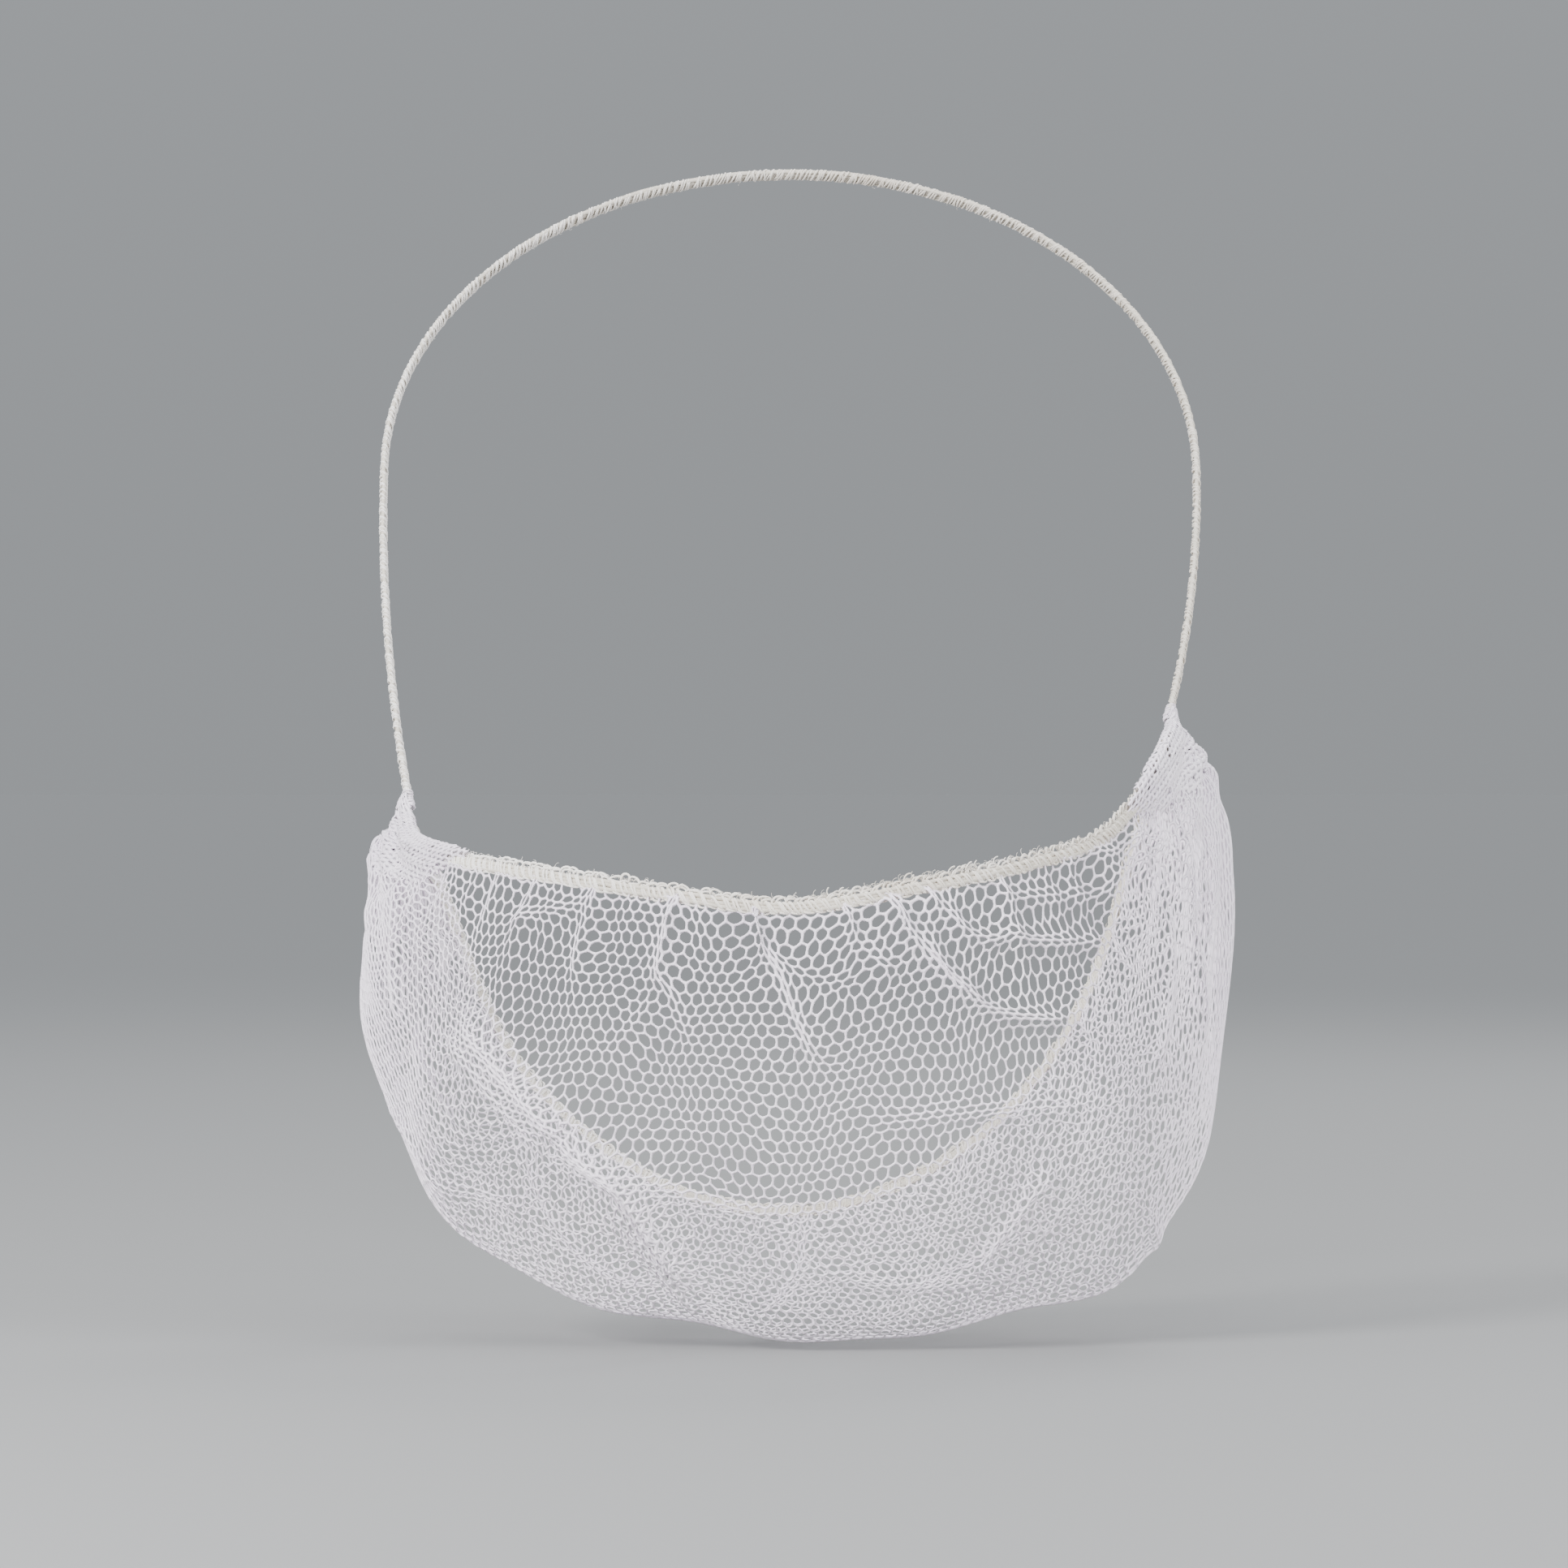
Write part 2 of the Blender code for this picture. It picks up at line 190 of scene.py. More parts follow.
BUNCH_ROLL, BUNCH_RISES, BUNCH_LIFTS = MM * np.transpose(
    (
        (-3.0, -0.4, -1.1),
        (-1.9, 0.55, -0.8),
        (-0.9, 0.65, 0.35),
        (0.0, 0.0, 0.95),
        (1.0, 0.0, 1.1),
        (3.0, 0.0, 0.95),
        (5.5, 0.0, 0.5),
    )
)
BUNCH_PLEAT = 2.9 * MM
BUNCH_PLEAT_RUN = 9.0 * MM
BUNCH_PLEAT_HEIGHT = 0.25 * MM
BUNCH_WAVE = 3.1 * MM
BUNCH_WAVE_HEIGHT = 0.5 * MM
BUNCH_BORDER = 2.5 * MM
BUNCH_TUCK = 0.3 * MM
BUNCH_JOIN = 5.5 * MM
BUNCH_LEAD_DEPTH = 5.0 * MM
BUNCH_LEAD_WIDTH = 0.2
BUNCH_HALF_DEPTHS = (2.0 * MM, 2.4 * MM, 3.6 * MM)
BUNCH_HALF_WIDTHS = (1.15 * MM, 1.5 * MM, 2.0 * MM)

# Strap ends: how far up and down the yarn is wound, from loop to loop, its half width and
# half depth round the strap, and where each of its yarns starts and how far it leans
END_RISE = 2.4 * MM
END_FALL = 1.0 * MM
END_PITCH = 0.55 * MM
END_HALF_WIDTH = 0.85 * MM
END_HALF_DEPTH = 1.6 * MM
END_STEPS = 25
END_YARN_RADIUS = 0.19 * MM
END_WINDS = ((0.0, 0.5), (0.5, 0.9))
END_WANDER = (0.08,)
END_UNEVEN = 0.15
END_POINTS = 12

# Frayed yarn ends: how their lengths, first angles and curl vary, how far out they start,
# in mm, and tilt; how far across the band they start; how many fibres each quarter of
# the strap has, their length and radius, and how far they curl; and for the elastics,
# degrees of turn and degrees each way, how many, their length and radius in mm, and curl
CURL_STEPS = 8
CURL = np.linspace(0.0, 1.0, CURL_STEPS)
FRAY_LENGTHS = (0.5, 1.25)
FRAY_STARTS = (-0.3, 0.6)
CURL_SPREAD = 0.8
FRAY_OUT = 0.4
FRAY_TILT = 0.7
FRAY_FOOT = 1.0 * MM
STRAP_FRAY_FOOT = 1.2 * MM
STRAP_FIBRES = (40, 0.9 * MM, 0.035 * MM, 1.5)
FRAYED = (
    (-21, 2, 5, 1.5, 0.12, 2.4),
    (7, 2, 6, 1.7, 0.12, 2.2),
    (21, 5, 12, 2.1, 0.14, 2.6),
    (31, 4, 6, 1.6, 0.12, 2.0),
    (0, 84, 260, 1.3, 0.03, 3.2),
    (0, 84, 260, 1.3, 0.03, -3.2),
    (24, 24, 120, 1.7, 0.04, 3.0),
)
REAR_FRAYED = ((0, 84, 90, 1.2, 0.03, 3.2), (0, 84, 90, 1.2, 0.03, -3.2))

# Patterns of the materials: how large their patches of colour and their grain are
NET_PATCH = 17.0 * MM
NET_GRAIN = 0.24 * MM
YARN_PATCH = 11.0 * MM
YARN_GRAIN = 0.19 * MM
CORD_GRAIN = 0.33 * MM
# Yarn turns warmer and darker towards the right gather: from where to where across, and from which
# share of its patches' colour to which. Partly the yarn's own warmer tone, partly painted shade on
# that end.
YARN_TONE_AND_SHADE = (-60.0 * MM, 10.0 * MM, 0.25, 1.3)

# Studio: the floor, how bright the air is overhead and far away, and the soft boxes as
# name, place, what they shine at, size and power
FLOOR_SIZE = 120.0
FLOOR_GAP = 1.0 * MM
AIR_OVERHEAD = 2.5
AIR_FAR = 0.36
LIGHTS = (
    ("key", (-0.62, -0.75, 0.22), (0.0, -0.08, -0.12), 0.35, 19.0),
    ("fill", (0.75, -0.60, 0.05), (0.0, -0.08, -0.12), 0.45, 9.0),
    ("back", (0.40, 0.90, 0.80), (0.0, -0.05, -0.1), 0.5, 9.0),
)

# How the photograph's camera stands and how long its lens is, in pixels of the image
CAMERA_PLACE = (-1.2 * MM, -1257.6 * MM, -121.9 * MM)
FOCAL_PIXELS = 7702.0
SENSOR_WIDTH = 36.0

# How far the net is stretched round the cheeks: from which turn, in full from which turn
SIDE_STRETCH = 1.6
STRETCH_FROM = 38.0
STRETCH_FULL = 66.0

# How tightly the cells crowd towards the gathers, how much more in the bunched corners,
# and the depth of net before it is gathered
CROWDING = 3.0
CROWD_TURN = 42.0
BUNCHING = 6.0
BUNCH_TURN = 71.0
SHEET_DEPTH = 150.0 * MM

# Pleats that run into each gather, ripples down the net, and ruffles along the elastics
PLEATS = 7
PLEAT_HEIGHT = 0.9 * MM
PLEAT_TURN = 58.0
PLEAT_FULL_TURN = 78.0
PLEAT_FADE = 8.0
PLEAT_BEND = 0.35
PLEAT_BENDS = 11.0
RIPPLE_HEIGHT = 1.1 * MM
RIPPLE_END_TURN = 84.0
RIPPLE_FADE = 20.0
RIPPLES = ((9.0, 0.6, 1.0), (17.0, 2.1, 0.6))
RUFFLE_HEIGHT = 0.8 * MM
RUFFLE_REACH = 5.0 * MM
RUFFLE_SQUEEZE = 0.65
REAR_PHASE = 1.7
RUFFLES = ((9.2, 0.4, 0.5), (6.1, 2.6, 0.35), (13.5, 4.4, 0.4))

# Unevenness of a knitted net: slow drift and shake of each knot
DRIFT = 0.42 * MM
DRIFT_LENGTHS = (26.0, 15.0, 9.0, 6.0)
KNOT_SHAKE = 0.075 * MM

# Creases where the net bunches into a ridge. Each runs through three places, given as
# degrees of turn from the chin and mm from the front edge. Then come half the width of
# cloth that it takes in, in mm, the share of that width that it swallows, and how far
# its crest stands out, in mm. A crease tapers over a share of its length, but not where
# it starts this close to the front elastic.
CREASE_STEPS = 25
CREASE_END = 1.5 * CELL_PITCH
CREASE_TAPER = 0.22
CREASE_BLUNT = 0.15
CREST_WIDTH = 0.36
FROM_ELASTIC = 3
CREASES = (
    (-16, 1, -17, 10, -17, 21, 5.4, 0.7, 2.0),
    (-16, 16, -14, 22, -12, 28, 3.6, 0.55, 0.7),
    (-17, 19, -20, 27, -23, 32, 3.6, 0.5, 0.6),
    (-5, 3, -2, 14, 4, 33, 5.2, 0.72, 1.9),
    (8, 3, 9, 10, 13, 18, 4.6, 0.62, 1.3),
    (14, 3, 18, 15, 24, 24, 6.4, 0.74, 2.4),
    (22, 22, 27, 27, 37, 31, 4.8, 0.68, 1.9),
    (19, 3, 24, 12, 30, 14, 4.4, 0.64, 1.5),
    (28, 13, 36, 17, 47, 20, 4.2, 0.68, 1.5),
    (29, 6, 39, 10, 53, 12, 4.6, 0.6, 1.0),
    (-44, 28, -33, 39, -25, 48, 7.0, 0.82, 2.8),
    (-27, 46, -19, 57, -11, 78, 7.0, 0.82, 2.8),
    (-45, 33, -36, 42, -27, 52, 5.2, 0.66, 2.0),
    (-22, 60, -17, 69, -11, 84, 4.6, 0.6, 1.4),
    (-28, 50, -16, 55, 0, 56, 6.0, 0.52, 0.7),
    (8, 41, 21, 43, 38, 47, 5.6, 0.52, 0.7),
    (-4, 9, 3, 15, 9, 16, 4.2, 0.52, 0.4),
    (-42, 12, -35, 9, -28, 5, 4.4, 0.55, 0.7),
    (-40, 3, -50, 3, -60, 4, 4.0, 0.6, 0.6),
    (42, 3, 52, 5, 62, 7, 4.6, 0.62, 0.8),
    (48, 8, 58, 11, 66, 14, 4.6, 0.6, 0.8),
    (-29, 3, -29, 12, -28, 20, 3.6, 0.55, 0.6),
    (60, 20, 55, 35, 48, 44, 6.0, 0.6, 1.5),
    (70, 10, 66, 30, 62, 52, 5.0, 0.52, 1.2),
    (-70, 8, -62, 22, -57, 34, 5.0, 0.5, 1.2),
    (-60, 52, -44, 62, -30, 64, 5.0, 0.45, 0.8),
    (2, 66, 14, 74, 30, 76, 5.4, 0.45, 0.7),
    (31, 56, 26, 64, 21, 75, 4.8, 0.66, 1.6),
    (34, 62, 29, 70, 25, 82, 4.2, 0.58, 1.2),
    (40, 60, 47, 72, 52, 82, 5.2, 0.45, 0.9),
    (-48, 108, -30, 104, -16, 110, 5.4, 0.5, 1.0),
    (14, 108, 26, 116, 42, 118, 5.4, 0.5, 1.0),
    (-6, 100, 0, 114, 3, 132, 4.6, 0.6, 1.2),
    (56, 96, 62, 84, 68, 64, 5.4, 0.52, 1.1),
    (-66, 56, -60, 72, -52, 90, 5.4, 0.52, 1.1),
)


def smooth_curve(at, value, places):
    """Run a smooth curve through values and read it at the places asked."""
    slope = np.gradient(value, at, axis=0)
    index = np.clip(np.searchsorted(at, places, side="right") - 1, 0, len(at) - 2)
    span = at[index + 1] - at[index]
    t = (places - at[index]) / span
    if value.ndim > 1:
        span = span[:, None]
        t = t[:, None]
    ends = (2 * t**3 - 3 * t**2 + 1) * value[index] + (3 * t**2 - 2 * t**3) * value[index + 1]
    lean = (t**3 - 2 * t**2 + t) * slope[index] + (t**3 - t**2) * slope[index + 1]
    return ends + lean * span


def share(name, turns):
    """Read a column of the pouch's sections at the turns asked."""
    rows = np.array(SECTIONS, float)
    return smooth_curve(rows[:, 0], rows[:, SECTION_COLUMNS.index(name)], turns)


def points(x, y, z):
    """Join coordinates into an array of points."""
    x, y, z = np.broadcast_arrays(x, y, z)
    return np.stack([x, y, z], axis=-1)


def unit(vectors):
    """Give vectors a length of one."""
    return vectors / np.linalg.norm(vectors, axis=-1, keepdims=True)


def ease(value):
    """Turn a share from 0 to 1 into one that starts and ends softly."""
    value = np.clip(value, 0.0, 1.0)
    return value * value * (3.0 - 2.0 * value)


def strap_plane(x, rise):
    """Place a point of the strap's plane, rise being measured up from the gathers."""
    below = rise - GATHER_TO_TEMPLE - TEMPLE_TO_CROWN + STRAP_THICKNESS / 2
    return points(x, below * math.sin(STRAP_LEAN), below * math.cos(STRAP_LEAN))


def rails(turns):
    """Return the six rails of the pouch, from its front edge round to its rear edge."""
    middle = strap_plane(0.0, 0.0)
    turn = np.radians(turns)
    level = middle[2] + GATHER_SKEW / 2 * np.sin(turn)
    fore = middle[1] - FACE_DEPTH * np.cos(turn)
    front = points(
        GATHER_HALF_WIDTH * np.sin(turn), fore, level - EDGE_SAG * share("sag", turns)
    )
    fold = points(
        POUCH_HALF_WIDTH * share("fold_out", turns),
        middle[1] - FACE_DEPTH * share("fold_fore", turns),
        level - POUCH_DROP * share("fold_drop", turns),
    )
    rear = points(
        THROAT_HALF_WIDTH * share("rear_out", turns),
        middle[1] - THROAT_DEPTH * share("rear_fore", turns),
        level - THROAT_DROP * share("rear_drop", turns),
    )
    outward = points(np.sin(turn), -np.cos(turn), -SWELL_DIP)
    upper = front + UPPER_SWELL * (fold - front)
    upper = upper + outward * (POUCH_PUFF * share("upper", turns))[:, None]
    lower = front + LOWER_SWELL * (fold - front)
    lower = lower + outward * (POUCH_PUFF * share("lower", turns))[:, None]
    down = points(0.0 * turn, 0.0, -1.0)
    under = 0.5 * (fold + rear) + down * (POUCH_PUFF * share("under", turns))[:, None]
    return np.stack([front, upper, lower, fold, under, rear], axis=1)


def lengths_along(path):
    """Return how far each point of a path lies along it."""
    step = np.linalg.norm(np.diff(path, axis=0), axis=1)
    return np.concatenate([[0.0], np.cumsum(step)])


def read_path(at, path, lengths):
    """Read a path, whose points lie at the lengths at, at other lengths along it."""
    return np.stack([np.interp(lengths, at, path[:, axis]) for axis in range(3)], axis=1)


class Pouch:
    """The surface that the net lies on, measured out in fine steps."""

    STEPS = 361
    REACHES = 241
    RAIL_POINTS = 121
    FOLD_RAIL = 3

    def __init__(self):
        self.turns = np.linspace(-GATHER_TURN, GATHER_TURN, self.STEPS)
        self.depth = np.zeros(self.STEPS)
        self.to_fold = np.zeros(self.STEPS)
        self.grid = np.zeros((self.STEPS, self.REACHES, 3))
        for index, rail in enumerate(rails(self.turns)):
            at = lengths_along(rail)
            places = np.linspace(0.0, at[-1], self.RAIL_POINTS)
            path = smooth_curve(at, rail, places)
            along = lengths_along(path)
            self.depth[index] = along[-1]
            self.to_fold[index] = np.interp(at[self.FOLD_RAIL], places, along)
            reaches = np.linspace(0.0, along[-1], self.REACHES)
            self.grid[index] = read_path(along, path, reaches)
        across = np.gradient(self.grid, axis=0)
        down = np.gradient(self.grid, axis=1)
        self.outward = unit(np.cross(down, across))
        around = lengths_along(self.grid[:, self.REACHES // 2])
        side = ease((np.abs(self.turns) - STRETCH_FROM) / (STRETCH_FULL - STRETCH_FROM))
        stretched = 1.0 + (SIDE_STRETCH - 1.0) * side
        steps = np.diff(around) * 2 / (stretched[1:] + stretched[:-1])
        self.girth = np.concatenate([[0.0], np.cumsum(steps)])
        self.girth = self.girth - np.interp(0.0, self.turns, self.girth)

    def depth_at(self, turns):
        """Return how deep the pouch is at each turn, from front edge to rear edge."""
        return np.interp(turns, self.turns, self.depth)

    def read(self, table, turns, lengths):
        """Read a table of the surface at turns and lengths from the front edge."""
        row = (turns + GATHER_TURN) / (2 * GATHER_TURN) * (self.STEPS - 1)
        row = np.clip(row, 0.0, self.STEPS - 1.001)
        column = lengths / self.depth_at(turns) * (self.REACHES - 1)
        column = np.clip(column, 0.0, self.REACHES - 1.001)
        r = row.astype(int)
        c = column.astype(int)
        fr = (row - r)[:, None]
        fc = (column - c)[:, None]
        near = table[r, c] * (1 - fc) + table[r, c + 1] * fc
        far = table[r + 1, c] * (1 - fc) + table[r + 1, c + 1] * fc
        return near * (1 - fr) + far * fr


pouch = Pouch()


def crowding(turns):
    """Return how many times the cells crowd across the net at each turn."""
    near = ease((np.abs(turns) - CROWD_TURN) / (GATHER_TURN - CROWD_TURN))
    bunched = ease((np.abs(turns) - BUNCH_TURN) / (GATHER_TURN - BUNCH_TURN))
    crowd = 1.0 + (CROWDING - 1.0) * near + BUNCHING * bunched
    return np.minimum(crowd, SHEET_DEPTH / pouch.depth_at(turns))


def flat_place(turns, lengths):
    """Return where places of the pouch lie on the flat sheet of net."""
    turns = np.asarray(turns, float)
    u = np.interp(turns, pouch.turns, pouch.girth)
    return np.stack([u, lengths * crowding(turns)], axis=1)


def on_pouch(flat):
    """Return the turns and lengths at which places of the flat net lie on the pouch."""
    turns = np.interp(flat[:, 0], pouch.girth, pouch.turns)
    return turns, flat[:, 1] / crowding(turns)


def drift(flat):
    """Return a slow sideways drift of the net, so that no two cells are quite alike."""
    source = np.random.default_rng(11)
    move = np.zeros_like(flat)
    for length in DRIFT_LENGTHS:
        for _ in range(4):
            lean = source.uniform(0.0, math.pi)
            phase = source.uniform(0.0, 2 * math.pi, 2)
            wave = flat @ (math.cos(lean), math.sin(lean)) * 2 * math.pi / (length * MM)
            size = DRIFT * length / sum(DRIFT_LENGTHS)
            move += size * np.sin(wave[:, None] + phase)
    return move


def gather_creases(flat):
    """Draw the flat net in towards its creases, and return how high each crest stands."""
    height = np.zeros(len(flat))
    steps = np.linspace(0.0, 1.0, CREASE_STEPS)
    leans = np.stack([(1 - steps) ** 2, 2 * steps * (1 - steps), steps**2], axis=1)
    for *places, width, pull, rise in CREASES:
        knots = flat_place(places[0::2], np.array(places[1::2]) * MM)
        knots[1] = 2 * knots[1] - (knots[0] + knots[2]) / 2
        line = leans @ knots
        width = width * MM
        near = (flat > line.min(axis=0) - 3 * width) & (flat < line.max(axis=0) + 3 * width)
        near = near.all(axis=1)
        gap = flat[near, None] - line
        closest = np.argmin((gap**2).sum(axis=2), axis=1)
        run = unit(np.gradient(line, axis=0))[closest]
        off = gap[np.arange(len(closest)), closest]
        beside = np.stack([run[:, 1], -run[:, 0]], axis=1)
        across = (off * beside).sum(axis=1)
        ends = ease(1.0 - np.abs((off * run).sum(axis=1)) / CREASE_END)
        place = steps[closest]
        taper = ease(np.minimum(place, 1.0 - place) / CREASE_TAPER + CREASE_BLUNT) * ends
        if places[1] <= FROM_ELASTIC:
            taper = np.where(place < 0.5, ends, taper)
        hold = np.exp(-((across / width) ** 2)) * taper
        flat[near] -= (pull * across * hold)[:, None] * beside
        shut = across * (1.0 - pull * hold)
        crest = np.exp(-((shut / (CREST_WIDTH * width)) ** 2)) * taper
        height[near] += rise * MM * crest
    return height


def relief(turns, lengths):
    """Return how far pleats and ripples lift the net off its surface."""
    reach = lengths / pouch.depth_at(turns)
    away = np.abs(turns)
    near = ease((away - PLEAT_TURN) / (PLEAT_FULL_TURN - PLEAT_TURN))
    close = np.clip((GATHER_TURN - away) / PLEAT_FADE, 0.0, 1.0)
    bend = PLEAT_BEND * np.sin(np.radians(turns) * PLEAT_BENDS)
    lift = PLEAT_HEIGHT * near * close * np.sin(2 * math.pi * PLEATS * reach + bend)
    wave = sum(part * np.sin(np.radians(turns) * rate + phase) for rate, phase, part in RIPPLES)
    fade = np.clip((RIPPLE_END_TURN - away) / RIPPLE_FADE, 0.0, 1.0)
    lift = lift + RIPPLE_HEIGHT * wave * np.sin(math.pi * reach) ** 2 * fade
    edge = np.minimum(reach, 1.0 - reach) * (POUCH_DROP + THROAT_DEPTH)
    return lift * np.clip(edge / (BINDING_HEIGHT * 3), 0.0, 1.0)


def ruffle(u, from_edge, seed):
    """Return the ruffles that an elastic gathers into the net: shift along it, and lift."""
    depth = np.clip(from_edge, 0.0, None) / RUFFLE_REACH
    grip = depth * np.exp(1.0 - depth)
    shift = np.zeros_like(u)
    lift = np.zeros_like(u)
    for length, phase, part in RUFFLES:
        rate = 2 * math.pi / (length * MM)
        lift += part * np.sin(u * rate + phase + seed)
        shift += part / rate * np.cos(u * rate + phase + seed)
    close = np.exp(-depth / 2.0)
    return RUFFLE_SQUEEZE * shift * close, RUFFLE_HEIGHT * lift * grip


def crowd_to_elastics(lengths, depth):
    """Crowd the rows of cells towards both elastics, where the net is gathered."""
    for _ in ("front", "rear"):
        beyond = np.clip(lengths - NET_INSET, 0.0, None)
        lengths = depth - (lengths - EDGE_CROWDING * beyond * np.exp(-beyond / EDGE_REACH))
    return lengths


def lay_net(flat):
    """Lay places of the flat net on the pouch, and tell how high its creases stand there."""
    drawn = flat + drift(flat)
    height = gather_creases(drawn)
    turns, lengths = on_pouch(drawn)
    depth = pouch.depth_at(turns)
    front_shift, front_lift = ruffle(flat[:, 0], lengths - BINDING_HEIGHT, 0.0)
    rear_shift, rear_lift = ruffle(flat[:, 0], depth - BINDING_HEIGHT - lengths, REAR_PHASE)
    drawn[:, 0] += front_shift + rear_shift
    turns, lengths = on_pouch(drawn)
    depth = pouch.depth_at(turns)
    lengths = crowd_to_elastics(np.clip(lengths, 0.0, depth), depth)
    place = pouch.read(pouch.grid, turns, lengths)
    outward = unit(pouch.read(pouch.outward, turns, lengths))
    flat_at_edge = np.clip((lengths - BINDING_HEIGHT / 2) / BINDING_HEIGHT, 0.0, 1.0)
    lift = relief(turns, lengths) + front_lift + rear_lift + height * flat_at_edge
    return place + outward * lift[:, None], height


def repeat(shape, doublings, step):
    """Double all that a bmesh holds, again and again, each time one row further on."""
    for turn in range(doublings):
        whole = shape.verts[:] + shape.edges[:] + shape.faces[:]
        copy = bmesh.ops.duplicate(shape, geom=whole)["geom"]
        moved = [item for item in copy if isinstance(item, bmesh.types.BMVert)]
        bmesh.ops.translate(shape, verts=moved, vec=[value * 2**turn for value in step])


def honeycomb(pitch, start, width, height):
    """Return a flat sheet of six-sided cells, at least as wide and as high as asked."""
    sheet = bmesh.new()
    side = pitch / math.sqrt(3)
    bmesh.ops.create_circle(sheet, cap_ends=True, segments=6, radius=side)
    repeat(sheet, 1, (pitch / 2, 1.5 * side, 0.0))
    repeat(sheet, math.ceil(math.log2(width / pitch)), (pitch, 0.0, 0.0))
    spare = [face for face in sheet.faces if face.calc_center_median().x > width]
    bmesh.ops.delete(sheet, geom=spare, context="FACES")
    repeat(sheet, math.ceil(math.log2(height / (3 * side))), (0.0, 3 * side, 0.0))
    bmesh.ops.translate(sheet, verts=sheet.verts[:], vec=(*start, 0.0))
    return sheet


def middles_of(sheet):
    """Return where the cells of a flat sheet have their middles."""
    return np.array([face.calc_center_median()[:2] for face in sheet.faces])


def keep_cells(sheet, inside):
    """Cut a honeycomb to the cells that lie inside, and split each side in two."""
    kept = inside(middles_of(sheet))
    spare = [face for face, keep in zip(sheet.faces[:], kept) if not keep]
    bmesh.ops.delete(sheet, geom=spare, context="FACES")
    bmesh.ops.remove_doubles(sheet, verts=sheet.verts[:], dist=0.1 * MM)
    bmesh.ops.subdivide_edges(sheet, edges=sheet.edges[:], cuts=1)


def in_pouch(flat):
    """Tell which places of the flat net lie between the two elastics."""
    turns, lengths = on_pouch(flat)
    return (lengths > NET_INSET) & (lengths < pouch.depth_at(turns) - NET_INSET)


def open_holes(sheet, widths, most):
    """Open a rounded hole in each cell, and leave a flat web as wide as a thread.

    Where the cells are squeezed narrow, the thread takes no more than that share of them.
    """
    holes = sheet.faces[:]
    cells = [np.array([vertex.co[:] for vertex in hole.verts]) for hole in holes]
    bmesh.ops.inset_individual(sheet, faces=holes, thickness=0.01 * MM)
    for hole, rim, width in zip(holes, cells, widths):
        middle = rim.mean(axis=0)
        before = np.roll(rim, 1, axis=0)
        after = np.roll(rim, -1, axis=0)
        run = unit(after - before)
        inward = middle - rim
        inward = inward - run * (inward * run).sum(axis=1)[:, None]
        room = np.linalg.norm(inward, axis=1)
        step = np.minimum(width / 2, most * room)
        rim = rim + unit(inward) * step[:, None]
        between = (np.roll(rim, 1, axis=0) + np.roll(rim, -1, axis=0)) / 2
        rim = rim + CORNER_ROUNDING * (between - rim)
        for vertex, place in zip(hole.verts, rim):
            vertex.co = place
    bmesh.ops.delete(sheet, geom=holes, context="FACES_ONLY")


def round_threads(web):
    """Raise both faces of a flat web along the middle of its threads.

    The rims of the holes stay where they are. The flat outer sides of the outermost
    cells are cut off, and the threads that led to them end there.
    """
    sides = [face for face in web.faces if all(vertex.is_boundary for vertex in face.verts)]
    bmesh.ops.delete(web, geom=sides, context="FACES")
    web.normal_update()
    ridges = [vertex for vertex in web.verts if not vertex.is_boundary]
    ways = [vertex.normal.copy() for vertex in ridges]
    whole = web.verts[:] + web.edges[:] + web.faces[:]
    below = bmesh.ops.duplicate(web, geom=whole)
    twins = below["vert_map"]
    turned = [item for item in below["geom"] if isinstance(item, bmesh.types.BMFace)]
    bmesh.ops.reverse_faces(web, faces=turned)
    for vertex, way in zip(ridges, ways):
        twins[vertex].co = vertex.co - way * THREAD_HEIGHT / 2
        vertex.co = vertex.co + way * THREAD_HEIGHT / 2
    bmesh.ops.remove_doubles(web, verts=web.verts[:], dist=0.0005 * MM)


def mesh_of(shape):
    """Turn a bmesh into a mesh."""
    mesh = bpy.data.meshes.new("mesh")
    shape.to_mesh(mesh)
    shape.free()
    return mesh


def add_object(name, data):
    """Add an object to the scene."""
    thing = bpy.data.objects.new(name, data)
    bpy.context.scene.collection.objects.link(thing)
    return thing


def show(name, mesh, material):
    """Show a mesh in the scene, in its material."""
    mesh.name = name
    mesh.materials.clear()
    mesh.materials.append(material)
    return add_object(name, mesh)


def finish_piece(name, mesh, material, *nodes, slot):
    """Make a piece that rides on the cover, and let it stand for the solids named."""
    mesh.shade_smooth()
    piece = show(name, mesh, material)
    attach(piece, "root")
    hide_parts(*nodes)


